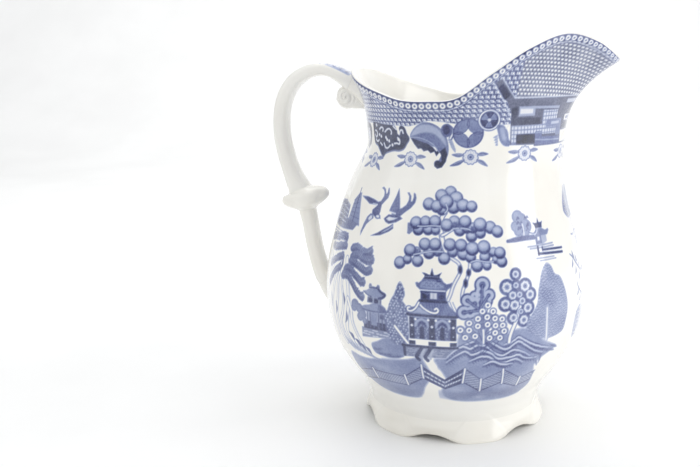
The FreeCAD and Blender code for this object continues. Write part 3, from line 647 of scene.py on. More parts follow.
    # birds
    B = 0.70
    A.poly([(-129.6, 93.4), (-124.5, 93.5), (-120, 92.9), (-116.4, 92.2), (-114.6, 92.6),
            (-113.2, 94.4), (-113.3, 95.8), (-114.2, 96.7), (-115.8, 97.2), (-114.6, 97.6),
            (-113.0, 96.9), (-112.1, 95.3), (-111.3, 95.6), (-111.1, 97.4), (-110.5, 97.4),
            (-109.9, 95.6), (-110.3, 94.0), (-112.0, 92.7), (-113.6, 91.4), (-113.7, 88.8),
            (-114.4, 87.4), (-116.8, 87.0), (-119, 87.9), (-119.4, 89.2), (-117.4, 90.3),
            (-116.2, 91.2), (-119.2, 91.1), (-122.4, 91.1), (-125.4, 92.2)], B, 0.12, soft=0.2)
    A.line([(-119.5, 90.0), (-118, 90.7), (-116.6, 91.3), (-120, 91.4)], 0.3, 0.1, 0.0)
    A.disc(-114.8, 87.2, 1.35, B + 0.1, 0.1, rz=0.85)
    A.disc(-114.7, 87.2, 0.95, 0.08, 0.0, rz=0.5)
    A.poly([(-113.7, 87.4), (-112.5, 86.6), (-113.8, 86.6)], B, 0.1)
    A.poly([(-120.0, 87.8), (-121.8, 86.6), (-123.0, 84.2), (-124.0, 81.2), (-123.8, 79.6),
            (-122.6, 81.8), (-121.2, 84.0), (-119.2, 85.4), (-117.4, 86.4), (-118, 87.6)],
           B - 0.06, 0.12, soft=0.2)
    A.poly([(-119.8, 87.2), (-121.0, 86.0), (-120.2, 85.2), (-118.4, 86.2), (-118.4, 87.2)], 0.12)
    A.poly([(-104.5, 97.6), (-105.5, 95), (-107.6, 91.2), (-108.2, 89.7), (-106, 88.9),
            (-104.4, 89.4), (-102.4, 90.2), (-103.2, 94)], B - 0.04, 0.05, soft=0.2)
    A.poly([(-106.8, 88.6), (-103.4, 90.4), (-101.4, 91.0), (-99.4, 92.2), (-98.4, 93.8),
            (-98.4, 95.2), (-99.6, 96.4), (-98.6, 96.4), (-97.4, 95.2), (-97.3, 93.4),
            (-96.6, 93.4), (-96.0, 95.0), (-96.2, 96.4), (-95.3, 96.0), (-94.7, 94.6),
            (-95.1, 93.0), (-97.0, 91.2), (-99.8, 89.6), (-101.8, 88.2), (-103.4, 87.6)],
           B, 0.05, soft=0.2)
    A.poly([(-110.6, 86.8), (-108.2, 88.4), (-105.4, 88.3), (-102.6, 88.4), (-100.6, 87.4),
            (-103.6, 86.0), (-107.4, 85.2), (-109.4, 85.8)], B + 0.06, 0.1, soft=0.2)
    A.poly([(-109.4, 86.8), (-107.8, 87.7), (-105, 87.5), (-102.8, 87.6), (-104.8, 86.8),
            (-107.4, 86.2)], 0.10, 0.0, soft=0.15)
    A.line([(-107.8, 89.4), (-106, 89.1), (-104.6, 88.9)], 0.55, 0.1, 0.0)
    A.poly([(-117.0, 80.2), (-113, 81.6), (-109.6, 83.2), (-106.6, 84.5), (-105.0, 85.4),
            (-104.6, 83.8), (-106.6, 82.6), (-111, 81.0)], B + 0.06, 0.15, soft=0.18)
    A.line([(-110.6, 82.0), (-107.2, 83.4), (-105.2, 84.6)], 0.6, 0.36, 0.0, taper=(0.2, 1))
    # layered oak-leaf tree
    A.blob([(-65.2, 65.6, 2.9), (-66.0, 63.2, 2.3), (-62.7, 61.9, 2.4), (-63.6, 59.8, 2.2),
            (-68.4, 61.8, 2.0), (-71.2, 60.4, 2.5), (-68.4, 59.2, 2.6), (-66.0, 59.4, 2.6),
            (-72.6, 56.2, 2.7), (-70.2, 56.2, 2.5), (-68.0, 57.0, 2.3)],
           [(0.0, 0.80), (0.55, 0.26), (1.75, 0.76), (2.1, 0.62)], 0.02)
    for p in ([(-66.4, 57.0), (-65.6, 61), (-65.3, 65.4)], [(-66.4, 57.2), (-64.6, 59.6), (-62.9, 61.9)],
              [(-66.6, 57.0), (-69.0, 58.8), (-71.4, 60.4)], [(-66.8, 56.8), (-69.6, 56.6), (-72.8, 56.2)]):
        A.line(p, 1.0, 0.86, 0.05, soft=0.3)
        A.line(p, 0.3, 0.42, 0.0)
    # ring-flower bush
    spots = [(-63.2, 58.4), (-65.4, 56.4), (-61.1, 56.1), (-67.2, 53.8), (-63.5, 54.2), (-60.3, 53.5),
             (-57.4, 53.1), (-70.6, 52.3), (-67.2, 51.1), (-63.3, 51.5), (-60.0, 50.9), (-57.1, 50.8),
             (-74.0, 49.8), (-70.6, 49.7), (-60.1, 48.2), (-56.4, 48.6), (-68.2, 47.4), (-72.1, 47.0),
             (-62.3, 46.4), (-58.0, 46.2)]
    A.blob([(x, z, 1.9) for x, z in spots if z < 56] + [(-65, 48.5, 2.5), (-66, 46, 2.2)],
           [(0.2, 0.50)], 0.08)
    for x, z in spots:
        A.line([(x, z - 1), (0.55 * x - 0.45 * 65.2, z - 3.4), (-65.2, z - 6)], 0.3, 0.70, 0.1, taper=(1, 0.3))
    A.line([(-65.2, 57), (-65.3, 52), (-64.8, 47.5), (-64.7, 44.6)], 1.1, 0.6, 0.1)
    A.line([(-65.0, 49.6), (-64.8, 47.5), (-64.7, 44.6)], 0.75, 0.05, 0.0)
    for x, z in spots:
        A.ring(x, z, 1.08, 0.36)
    # rosette tree
    ros = [(-51.0, 68.4, 1.35), (-55.1, 64.2, 1.9), (-47.1, 64.0, 1.9), (-51.2, 64.6, 1.1),
           (-52.8, 61.2, 1.5), (-45.0, 60.8, 1.75), (-49.8, 61.2, 1.1), (-56.0, 58.3, 1.75),
           (-52.1, 57.7, 1.8), (-48.7, 58.9, 1.3), (-46.2, 56.2, 1.8), (-52.6, 53.2, 1.6),
           (-48.0, 52.0, 1.75), (-49.4, 55.2, 1.0)]
    A.blob([(x, z, r + 0.95) for x, z, r in ros], [(0.0, 0.74), (0.75, 0.56)], 0.03)
    A.cord([(-49.8, 57), (-50.6, 54.6), (-51.6, 51.6), (-53.0, 48.6), (-53.8, 46.2), (-54.0, 44.2)],
           1.15, 0.05, 0.66, 0.15)
    A.line([(-50.4, 55.2), (-48.6, 56.4)], 0.4, 0.85, 0.2, smooth=0)
    for x, z, r in ros:
        A.rosette(x, z, r, 7)
    # tall feathery conifer
    tall = [(-34.6, 70.6), (-31.6, 68.9), (-30.2, 66.2), (-27.0, 64.8), (-24.8, 61.4), (-23.2, 57.2),
            (-22.4, 52.2), (-23.4, 47.4), (-25.0, 44.0), (-31.6, 42.8), (-38.0, 43.6), (-43, 45.6),
            (-46.6, 48.2), (-46.2, 51.4), (-43.6, 54.2), (-41.4, 57.4), (-40.8, 61), (-39.4, 65),
            (-37.6, 68.4)]
    A.poly(tall, 0.45, 0.15, soft=0.35, smooth=3)
    m = A.poly(tall, 0, only_mask=True, smooth=3)
    A.poly([(-38.5, 61.6), (-33, 60.4), (-29, 56.4), (-33, 54.4), (-38, 57)], 0.58, 0.15, soft=0.9,
           smooth=3)
    s, X, Z, k = A.win((-47, 42), (-22, 71), 0.2)
    v = Z + 0.32 * np.sin((X - 0.5 * Z) * 0.9) + 0.18 * np.sin(X * 2.3 + Z)
    wave = (v / 0.92) % 1.0
    brk = np.sin(X * 3.1 + np.floor(v / 0.92) * 2.4) > -0.72
    A.put(s, (wave < 0.42) * brk * m[s] * 0.85, 0.28, 0.1)
    A.put(s, (wave > 0.78) * brk * m[s] * 0.7, 0.68, 0.2)
    A.line([(-36, 55), (-35.9, 49), (-35.2, 42.6)], 1.9, 0.34, 0.1, soft=0.5)
    A.line([(-36.1, 54.6), (-36.0, 49), (-35.3, 42.4)], 0.8, 0.08, 0.0)
    for p in ([(-32, 39.6), (-29, 38.8), (-26.6, 37.8)], [(-34.5, 38.0), (-31.2, 37.6), (-28, 36.8)],
              [(-41, 36.4), (-38.4, 34.2), (-36.6, 32)], [(-37.6, 37.6), (-36.4, 35.4), (-36.2, 33)]):
        A.line(p, 0.75, 0.60, 0.2, soft=0.3, taper=(0.2, 0.2))
    # island with a small temple
    A.blob([(-46.6, 87.6, 2.3), (-44.8, 86.4, 2.4), (-48.2, 84.4, 1.9), (-45.6, 84.2, 2.6),
            (-42.6, 84.2, 2.3), (-44.2, 82.4, 2.2), (-47.4, 82.6, 1.6)], [(0.0, 0.52), (0.5, 0.40)], 0.02)
    for n in range(16):
        x, z = -48.4 + 7.4 * A.rng.random(), 82.2 + 5.6 * A.rng.random()
        A.line([(x - 0.6, z - 0.4), (x, z + 0.4), (x + 0.5, z - 0.1)], 0.42, 0.64, 0.05)
    A.line([(-44.6, 85), (-44.4, 83), (-44.7, 81)], 0.55, 0.08, 0.0)
    A.line([(-53.0, 79.7), (-48, 80.1), (-44, 80.2), (-39.6, 80.1)], 1.7, 0.66, 0.02, taper=(0.6, 1))
    A.line([(-41.4, 81.8), (-39, 81.4), (-37, 82.8)], 0.35, 0.7, 0.1)
    A.poly([(-38.9, 77.4), (-38.9, 81), (-35.0, 81), (-35.0, 77.4)], 0.58, 0.15)
    A.poly([(-37.6, 78.7), (-37.6, 80.0), (-36.2, 80.0), (-36.2, 78.7)], 0.06, 0.0, soft=0.12)
    A.poly([(-35.0, 77.2), (-34.8, 80.4), (-31.6, 80.4), (-31.6, 78.0)], 0.30, 0.2)
    A.poly([(-39.2, 80.6), (-37.6, 82.6), (-34, 82.8), (-31.4, 81.8), (-29.4, 82.2), (-29.0, 81.6),
            (-30.6, 80.2), (-35, 80.2)], 0.56, 0.1, soft=0.14)
    A.line([(-38.8, 80.8), (-37.2, 81.6), (-36.6, 82.8)], 0.35, 0.06, 0.0)
    A.poly([(-37.6, 82.9), (-37.8, 83.9), (-38.8, 85.0), (-37.4, 84.7), (-36.0, 84.7),
            (-35.3, 86.4), (-34.8, 84.8), (-33.4, 84.7), (-32.2, 85.0), (-33.0, 83.9),
            (-33.2, 82.9)], 0.84, 0.4, soft=0.14)
    for (a, b, w, i) in (((-43.6, 77.1), (-28.2, 76.9), 0.5, 0.45), ((-42.6, 76.3), (-27.8, 76.0), 0.5, 0.42),
                         ((-39.8, 72.7), (-28.6, 72.2), 0.36, 0.5), ((-38, 71.7), (-27.6, 71.4), 0.36, 0.45),
                         ((-35.6, 75.3), (-22.2, 74.5), 0.72, 0.86), ((-38.3, 74.2), (-22.4, 73.0), 0.85, 0.86),
                         ((-38.2, 76.6), (-38.2, 73.9), 0.85, 0.86), ((-35.6, 76.2), (-35.6, 75.2), 0.7, 0.8)):
        A.line([a, b], w, i, 0.4, smooth=0)
    # spray under the spout
    spout_spray(A, 0.0)


def spout_spray(A, c):
    """Leafy spray on the front edge, below the spout."""
    A.cord([(c + 0.5, 92), (c - 0.8, 84), (c + 0.6, 76), (c - 0.4, 68), (c + 0.8, 60), (c, 50),
            (c - 0.6, 42)], 0.5, 0.15, 0.66, 0.1)
    for side in (-1, 1):
        A.poly([(c, 83.6), (c + side * 3.6, 83.0), (c + side * 8.0, 83.8), (c + side * 11.6, 86.4),
                (c + side * 9.6, 90.4), (c + side * 6.4, 93.6), (c + side * 2.4, 95.4), (c, 92)],
               0.56, 0.05, soft=0.3, smooth=3)
        for n in range(5):
            A.line([(c + side * 0.5, 84.8 + n * 1.6), (c + side * (9.4 - n * 1.1), 85.8 + n * 1.9)],
                   0.3, 0.32, 0.0, smooth=0)
        A.line([(c + side * 0.3, 78), (c + side * 4.6, 77), (c + side * 9.2, 77.4)], 0.5, 0.55, 0.1)
        A.line([(c, 62.6), (c + side * 5, 63.6), (c + side * 10, 66.4), (c + side * 13.6, 69.4),
                (c + side * 16.6, 71.2)], 0.9, 0.56, 0.25, taper=(1, 0.4))
        for t, (x, z) in enumerate(((5, 65.6), (8.6, 68), (11.8, 69.8), (7.2, 62.4), (11.6, 65.2), (14.6, 68.2))):
            sgn = 1 if t < 3 else -1
            A.leaf((c + side * x, z - 0.9 * sgn), (c + side * (x + 1.8), z + 2.2 * sgn), 1.3, 0.52, 0.2)
        A.line([(c, 52), (c + side * 6, 54.4), (c + side * 11, 57.8), (c + side * 12.6, 60.4)], 0.8, 0.5,
               0.25, taper=(1, 0.4))
        for x, z in ((4.4, 52.6), (8, 54.6), (11, 57.4)):
            A.leaf((c + side * x, z), (c + side * (x + 2.0), z - 2.4), 1.3, 0.5, 0.2)
        A.poly([(c + side * 1, 46), (c + side * 8, 50.5), (c + side * 13, 49), (c + side * 15, 44),
                (c + side * 13.5, 38.4), (c + side * 8, 40), (c + side * 3, 42)], 0.36, 0.15, soft=0.5,
               smooth=3)
        for n in range(7):
            z = 39.6 + 1.5 * n
            A.line([(c + side * 2, z + 1.4), (c + side * 13.4, z)], 0.4, 0.52, 0.2, smooth=0,
                   taper=(0.3, 0.3))
    A.rosette(c, 74.6, 2.4, 9)
    A.rosette(c, 58.4, 2.1, 8)


# ------------------------------------------------------------- neck border
def border(A):
    top = around(RIM_Z, A.d)[None, :]
    X, Z = np.meshgrid(A.d, A.z)
    flat = radius(X, Z, False)
    rise = np.gradient(flat, A.dz, axis=0)
    swing = np.gradient(flat, np.radians(A.dd), axis=1)
    arc = np.cumsum(np.sqrt(1 + rise ** 2) * A.dz, axis=0)
    row = np.clip((top[0] - A.z0) / A.dz, 0, len(A.z) - 2)
    j = row.astype(int)
    i = np.arange(len(A.d))
    rim_arc = arc[j, i] + (arc[j + 1, i] - arc[j, i]) * (row - j)
    depth = rim_arc[None, :] - arc        # distance below the rim, along the wall
    k = np.array([A.kx(z) for z in A.z])[:, None]
    full = (slice(None), slice(None))
    # lower edge of the border
    low_pts = np.array([(-180, 119.6), (-135, 119.8), (-101, 119.4), (-98, 119.8), (-90, 121.4), (-82, 121),
                        (-76, 120.4), (-64, 119.8), (-55, 119.4), (-48, 119.8), (-40, 120), (0, 120)])
    low = np.interp(A.d, low_pts[:, 0], low_pts[:, 1])[None, :]
    field = np.clip((Z - low) / 0.4, 0, 1)
    A.put(full, field, 0.70, 0.30)
    # woven lattice, left and centre
    su = (X + 200.0) * k
    pu, pv = su / 2.05, Z / 1.55
    cell = np.floor(pv)
    fu = (pu + 0.5 * (cell % 2)) % 1.0
    fv = pv % 1.0
    tri = (fu > 0.16) & (fu < 0.62 + 0.22 * fv) & (fv > 0.26) & (fv < 0.84)
    tail = (np.abs(fu - 0.78) < 0.10) & (fv > 0.05) & (fv < 0.55)
    weave = np.where(tri, 1.0, 0.0) + np.where(tail, 0.8, 0.0)
    A.put(full, np.clip(weave, 0, 1) * field * (X < -46), 0.03, 0.10)
    dots = (np.abs(fu - 0.38) < 0.12) & (np.abs(fv - 0.55) < 0.14)
    A.put(full, dots * field * (X < -46) * 0.85, 0.50, 0.2)
    # scale pattern on the spout
    pu = X * np.pi / 180.0 * 50.0 / 1.80
    pv = (arc + 0.05 * (X + 30)) / 1.45
    cell = np.floor(pv)
    fu = (pu + 0.5 * (cell % 2)) % 1.0
    fv = pv % 1.0
    scale = A.edge(np.maximum(np.abs(fu - 0.54) - 0.31, np.abs(fv - 0.56) - 0.27), 0.07)
    zone = field * (X >= -46.5)
    A.put(full, zone, 0.58, 1.0)
    A.put(full, scale * zone, 0.10, 0.60)
    glint = A.edge(np.maximum(np.abs(fu - 0.66) - 0.17, np.abs(fv - 0.66) - 0.15), 0.08)
    A.put(full, glint * zone, 0.0, 0.10)
    dark = A.edge(np.hypot(fu - 0.06, (fv - 0.12) * 0.8) - 0.17, 0.10)
    A.put(full, dark * zone * 0.9, 0.76, 0.9)

    # dark scroll panel near the handle
    panel = [(-134.6, 119.2), (-131, 120.4), (-122, 119.8), (-113, 119.6), (-110.4, 118.4),
             (-109.8, 116.6), (-108, 116.2), (-108.4, 118.6), (-106.6, 119.6), (-104.2, 118.8),
             (-103.0, 116.8), (-101.4, 115.2), (-103.2, 113.4), (-105.2, 111.6), (-108.6, 110.8),
             (-112.6, 110.8), (-116.6, 110.2), (-120.2, 109.4), (-122.2, 108.0), (-125.2, 109.6),
             (-129.4, 112), (-133.8, 113.2)]
    for q in (panel,):
        A.poly([(x, z - 0.55) for x, z in q], 0.52, 0.25, smooth=3)
        A.poly([(x, z + 0.10) for x, z in q], 0.24, 0.1, smooth=3)
        A.poly(q, 0.90, 0.95, smooth=3)
    for p in ([(-132, 117.2), (-130.4, 117.0), (-129.6, 115.8), (-131.2, 114.8), (-132.6, 115.6)],
              [(-131.8, 113.9), (-129.8, 113.2), (-128, 113.8)],
              [(-126.6, 117.8), (-124.4, 118.6), (-122.6, 118.2), (-123.2, 117.2)],
              [(-121.0, 117.0), (-118.6, 118.0), (-116.2, 118.2), (-114.8, 117.2), (-115.2, 116.4)],
              [(-122.6, 112.8), (-121.2, 111.4), (-118.8, 111.2), (-116.6, 112.2)],
              [(-126.4, 112.8), (-124.6, 112.0)],
              [(-112.6, 113.0), (-110.6, 113.2), (-108.6, 113.0), (-108.4, 114.4), (-109.8, 115.2)],
              [(-108.4, 116.6), (-107.6, 117.8), (-106.2, 118.0), (-105.6, 117.0)],
              [(-112.8, 119.2), (-110.6, 118.2)]):
        A.line(p, 0.72, 0.10, 0.2)
    for x, z in ((-129.8, 119.2), (-120.4, 115.0), (-119.4, 114.2), (-109.2, 114.6), (-114.4, 112.4),
                 (-117.4, 113.8), (-125.2, 115.2), (-127.2, 115.8)):
        A.disc(x, z, 0.62, 0.08, 0.1)
    # scroll leaf
    A.poly([(-101, 115.8), (-99.2, 118.2), (-96, 120.0), (-92, 121.0), (-87.6, 120.6), (-83.6, 119.0),
            (-80.6, 116.4), (-79.2, 112.6), (-79.6, 109.6), (-81.6, 107.0), (-84, 105.2), (-86, 106),
            (-84.6, 107.4), (-82.8, 110.2), (-85.2, 112), (-92, 113.4), (-97, 114.6)],
           0.58, 0.08, smooth=3)
    A.poly([(-100.4, 116.2), (-97.6, 118.8), (-93.4, 120.2), (-88.4, 120.0), (-84.2, 118.4), (-81.4, 115.8),
            (-80.6, 113), (-83.4, 115.2), (-87.4, 117.2), (-92.4, 117.4), (-97, 116.6)],
           0.30, 0.05, soft=0.4, smooth=3)
    A.poly([(-100.6, 115.6), (-97.6, 115.8), (-93.4, 115.2), (-89.6, 114.2), (-86.4, 112.6),
            (-84.0, 110.4), (-82.6, 112.4), (-84.8, 115.2), (-88.6, 116.8), (-93, 117), (-97.4, 116.4)],
           0.62, 0.0, soft=0.3, smooth=3)
    A.poly([(-100.6, 115.4), (-97.8, 115.0), (-94.4, 114.2), (-91, 113.6), (-87.8, 112.4),
            (-85.6, 110.8), (-84.4, 111.4), (-83.0, 109.6), (-82.8, 107.6), (-84.2, 106.6),
            (-86.0, 106.8), (-86.6, 105.8), (-85.0, 104.9), (-82.6, 105.4), (-80.6, 107.4),
            (-79.9, 110), (-81.0, 112.4), (-84.0, 110.6), (-85.6, 109.2), (-86.8, 110.8),
            (-88.8, 110.2), (-90.4, 111.2), (-92.8, 110.8), (-94.2, 111.8), (-96.2, 111.6),
            (-98.4, 113.2)], 0.92, 0.9, soft=0.16)
    A.disc(-85.0, 106.6, 1.15, 0.92, 0.9)
    A.line([(-100.4, 115.6), (-96.4, 115.6), (-91.6, 114.8), (-87.4, 113.2), (-84.4, 110.8)], 0.3,
           0.30, 0.0)
    A.line([(-79.8, 119.9), (-77.8, 118.8), (-77.0, 117.2), (-78.2, 115.4)], 1.3, 0.7, 0.2)
    A.line([(-79.4, 120.0), (-77.8, 118.8), (-77.2, 117.2), (-78.4, 115.4)], 0.6, 0.06, 0.0)
    A.disc(-80.2, 118.2, 2.0, 0.66, 0.1, rz=2.3)
    A.disc(-80.4, 118.4, 1.2, 0.86, 0.2, rz=1.6)
    for n in range(4):
        A.leaf((-79.6 + 0.5 * n, 115.0 - 0.8 * n), (-77.0 + 0.4 * n, 113.2 - 0.9 * n), 1.0, 0.36, 0.1)
    # star roundel
    cx, cz, R = -69.4, 117.2, 5.1
    s, Xw, Zw, kk = A.win((cx, cz), (cx, cz), R + 1)
    u, v = (Xw - cx) * kk, Zw - cz
    q = np.hypot(u, v)
    A.put(s, A.edge(q - R), 0.80, 0.1)
    A.put(s, A.edge(q - (R - 0.35)), 0.58, 0.0)
    R2 = R * 0.90
    star = np.ones_like(q, bool)
    for a in (0, 1, 2, 3):
        ox, oz = R2 * math.cos(a * math.pi / 2 + math.pi / 4), R2 * math.sin(a * math.pi / 2 + math.pi / 4)
        star &= np.hypot(u - ox, v - oz) > R2 * 0.78
        ring_ = np.abs(np.hypot(u - ox, v - oz) - R2 * 0.78)
        A.put(s, A.edge(ring_ - 0.12) * (q < R - 0.3), 0.84, 0.2)
    A.put(s, star * (q < R * 0.93), 0.02, 0.0)
    # fruit roundel
    cx, cz, R = -59.2, 121.6, 3.6
    s, Xw, Zw, kk = A.win((cx, cz), (cx, cz), R + 1)
    u, v = (Xw - cx) * kk, Zw - cz
    q, a = np.hypot(u, v), np.arctan2(v, u)
    A.put(s, A.edge(q - R - 0.25), 0.78, 0.2)
    A.put(s, A.edge(q - R), 0.04, 0.0)
    A.put(s, A.edge(q - R + 0.55), 0.80, 0.2)
    A.put(s, A.edge(q - R + 0.75), 0.90, 0.35)
    pet = np.cos(1.5 * (a - 0.5)) ** 2
    A.put(s, (pet > 0.62) * A.edge(q - R + 1.0) * (q > 0.5), 0.58, 0.0)
    A.put(s, A.edge(np.abs(pet - 0.62) - 0.06, 0.05) * A.edge(q - R + 1.0), 0.30, 0.0)
    A.put(s, A.edge(q - 0.6), 0.14, 0.0)
    # small scroll by the fret
    A.poly([(-55.4, 119.4), (-53.6, 119.8), (-51.4, 119.2), (-49.6, 117.2), (-48.8, 114.4),
            (-46.6, 113.2), (-48.6, 112.2), (-51.6, 112.6), (-53.6, 114.4), (-54.6, 117)],
           0.58, 0.0, soft=0.2, smooth=3)
    A.poly([(-53.6, 118.6), (-51.8, 118.6), (-50.8, 116.6), (-50.4, 114.4), (-52.2, 114.6),
            (-53.2, 116.4)], 0.34, 0.0, soft=0.4, smooth=3)
    A.line([(-50.4, 118.6), (-49.0, 119.6), (-48.2, 118.6), (-48.8, 116.6)], 0.7, 0.08, 0.0)
    for n in range(4):
        A.leaf((-54.6, 116.4 - n), (-57.0 + 0.4 * n, 115.4 - 0.9 * n), 0.9, 0.34, 0.05)
    # fret panel beside the spout
    G = 0.70
    A.poly([(-58.2, 134.2), (-55.4, 135.6), (-44.6, 127.2), (-47.0, 121.6), (-50.6, 127.2)], G, 0.95,
           soft=0.14)
    A.line([(-55.0, 135.5), (-49.4, 130.6), (-46.6, 128.4), (-42, 128.4)], 0.34, 0.12, 0.1, smooth=0)
    A.line([(-58.5, 133.8), (-52.4, 127.6), (-48.0, 121.8)], 0.34, 0.12, 0.1, smooth=0)
    A.poly([(-54.6, 133.9), (-50.0, 129.9), (-52.3, 128.3), (-56.6, 132.4)], 0.95, 0.6, soft=0.12)
    A.poly([(-48.2, 111.6), (-48.2, 128.6), (2, 128.6), (2, 111.6)], G, 0.95, soft=0.14)
    A.line([(-47.6, 129.0), (-30, 128.8), (2, 128.6)], 0.42, 0.14, 0.2, smooth=0)
    # light fret bars inside the dark field
    A.poly([(-44.2, 122.4), (-44.2, 125.9), (-16.8, 125.4), (-16.8, 124.4), (-34.6, 124.9),
            (-34.6, 122.4)], 0.34, 0.25, soft=0.12)
    A.poly([(-43.6, 123.2), (-43.6, 125.1), (-36, 124.9), (-36, 123.2)], 0.10, 0.1, soft=0.12)
    A.poly([(-48.2, 119.4), (-48.2, 125.4), (-45, 125.6), (-45, 122), (-30.6, 121.6), (-30.6, 119.3)],
           0.90, 0.95, soft=0.12)
    A.poly([(-47.6, 113.2), (-47.6, 119.2), (-29, 119.2), (-29, 124.2), (-17.4, 124.0),
            (-17.4, 115.6), (-33.6, 115.8), (-33.6, 113.2)], 0.13, 0.1, soft=0.12)
    mb = A.poly([(-47.5, 113.2), (-47.5, 119.1), (-29, 119.1), (-29, 124.1), (-17.4, 123.9),
                 (-17.4, 115.6), (-33.6, 115.8), (-33.6, 113.2)], 0, only_mask=True)
    s, Xw, Zw, kk = A.win((-48, 112), (-17, 125), 0.2)
    gu, gv = ((Xw + 60) * 0.74 / 1.45) % 1.0, ((Zw - 100.25) / 1.45) % 1.0
    grid = (np.minimum(gu, 1 - gu) < 0.13) | (np.minimum(gv, 1 - gv) < 0.13)
    A.put(s, grid * mb[s] * 0.9, 0.56, 0.2)
    A.poly([(-45, 113.0), (-45, 116.2), (-33.4, 116.0), (-33.4, 112.8)], 0.97, 0.9, soft=0.12)
    A.poly([(-33.4, 112.0), (-33.4, 116.8), (-28.6, 116.8), (-28.6, 114.8), (-12.6, 114.4),
            (-12.6, 111.8)], 0.60, 0.05, soft=0.12)
    A.line([(-33.0, 114.0), (-28, 113.6), (-13, 113.2)], 0.4, 0.30, 0.0, smooth=0)
    A.line([(-32.9, 116.3), (-29.1, 116.3)], 0.3, 0.3, 0.0, smooth=0)
    A.poly([(-26, 118.0), (-26, 120.8), (-12, 120.8), (-12, 114.8), (-17.2, 114.8), (-17.2, 118.0)],
           0.52, 0.1, soft=0.12)
    A.poly([(-22, 118.9), (-22, 119.9), (-14.6, 119.9), (-14.6, 118.9)], 0.22, 0.0, soft=0.12)
    A.poly([(-12, 112.0), (-12, 116.4), (2, 116.4), (2, 112.0)], 0.02, 0.0, soft=0.14)
    A.poly([(-8.6, 119.6), (-8.6, 122.0), (2, 122.0), (2, 119.6)], 0.06, 0.1, soft=0.12)
    A.poly([(-6.8, 120.3), (-6.8, 121.3), (2, 121.3), (2, 120.3)], 0.58, 0.1, soft=0.12)
    A.poly([(-11, 126.2), (-11, 127.6), (2, 127.6), (2, 126.2)], 0.20, 0.3, soft=0.12)
    A.line([(-48.4, 111.3), (-33, 111.2), (-12, 111.4)], 0.3, 0.02, 0.0, smooth=0)
    A.poly([(-48.6, 109.4), (-48.6, 112.6), (-34, 112.2), (-34, 109.4)], 0.02, 0.0, soft=0.12)
    A.poly([(-35, 109.4), (-35, 111.6), (3, 111.4), (3, 109.4)], 0.02, 0.0, soft=0.12)
    A.poly([(-47.6, 112.6), (-47.6, 113.2), (-45, 113.2), (-45, 112.6)], 0.5, 0.1, soft=0.12)
    # flowers hanging below the border
    for cx, cz in ((-100.4, 107.9), (-68.2, 108.9), (-39.8, 109.4), (-130.6, 106.4), (-158, 107.4),
                   (-8.6, 108.4)):
        for (ax, az, bx, bz) in ((-2.6, 0.9, -9.4, 0.9), (-2.4, -0.6, -10.4, -3.0),
                                 (2.6, 0.6, 9.0, 0.9), (2.4, -0.9, 8.6, -3.4)):
            A.leaf((cx + ax, cz + az), (cx + bx, cz + bz), 1.35, 0.60, 0.05, bend=0.05)
            A.line([(cx + ax, cz + az), (cx + 0.7 * bx + 0.3 * ax, cz + 0.7 * bz + 0.3 * az)], 0.22,
                   0.3, 0.0, smooth=0)
        A.rosette(cx, cz, 2.5, 11, 0.7)
    for cx, cz in ((-146, 115), (-165, 115)):
        A.poly([(cx - 7, 119.2), (cx + 7, 119.2), (cx + 6, 113), (cx, 110), (cx - 6, 113)], 0.9, 0.95,
               smooth=3)
        A.rosette(cx, 115.2, 2.6, 8)
    # beads along the rim: a dark band, pale rings and a pale rule below
    band = np.clip((2.75 - depth) / 0.25, 0, 1) * (depth < 50)
    A.put(full, band, 0.84, 0.42)
    rule = np.clip(1 - np.abs(depth - 3.15) / 0.30, 0, 1)
    A.put(full, rule * 0.9, 0.10, 0.2)
    rule = np.clip(1 - np.abs(depth - 3.6) / 0.26, 0, 1)
    A.put(full, rule * 0.85, 0.80, 0.4)
    # walk the rim at a constant step
    dd = np.linspace(A.d[0], A.d[-1], 6000)
    lift = np.interp(dd, A.d, rise[np.clip(j - 12, 0, None), i])
    zz = around(RIM_Z, dd) - 1.45 / np.sqrt(1 + lift ** 2)
    rr = around(RIM_R, dd)
    seg = np.hypot(np.diff(dd) * math.pi / 180 * 0.5 * (rr[1:] + rr[:-1]) * 0.97, np.diff(zz))
    run = np.concatenate([[0], np.cumsum(seg)])
    for t in np.arange(1.0, run[-1], 2.5):
        d, z = np.interp(t, run, dd), np.interp(t, run, zz)
        r = np.interp(d, dd, rr)
        up = float(np.interp(d, dd, lift))
        turn = float(np.interp(d, A.d, swing[np.clip(j - 12, 0, None), i]))
        w = self_win(A, d, z, r, up, turn)
        if w is None:
            continue
        s, q = w
        A.put(s, A.edge(q - 1.28), 0.74, 0.4)
        A.put(s, A.edge(q - 1.08), 0.02, 0.0)
        A.put(s, A.edge(q - 0.34, 0.2), 0.78, 0.4)


def self_win(A, d, z, r, up, turn):
    """Distance on the sloping wall from a point on it."""
    kb = r * math.pi / 180
    i0 = max(int((d - 2.4 / kb - A.d0) / A.dd), 0)
    i1 = min(int((d + 2.4 / kb - A.d0) / A.dd) + 2, len(A.d))
    j0 = max(int((z - 2.4 - A.z0) / A.dz), 0)
    j1 = min(int((z + 2.4 - A.z0) / A.dz) + 2, len(A.z))
    if i1 <= i0 or j1 <= j0:
        return None
    X, Z = np.meshgrid(A.d[i0:i1], A.z[j0:j1])
    a, h = np.radians(X - d), Z - z
    q = (r * r + turn * turn) * a * a + (1 + up * up) * h * h + 2 * turn * up * a * h
    return (slice(j0, j1), slice(i0, i1)), np.sqrt(np.maximum(q, 0))




# ------------------------------------------------------------------- meshes
def place(x, y, z):
    """Millimetres about the belly axis to metres in the frame."""
    return np.stack([(np.asarray(x) + BELLY_X), np.asarray(y) + 0.0 * np.asarray(x),
                     np.asarray(z) + 0.0 * np.asarray(x)], -1) * 0.001


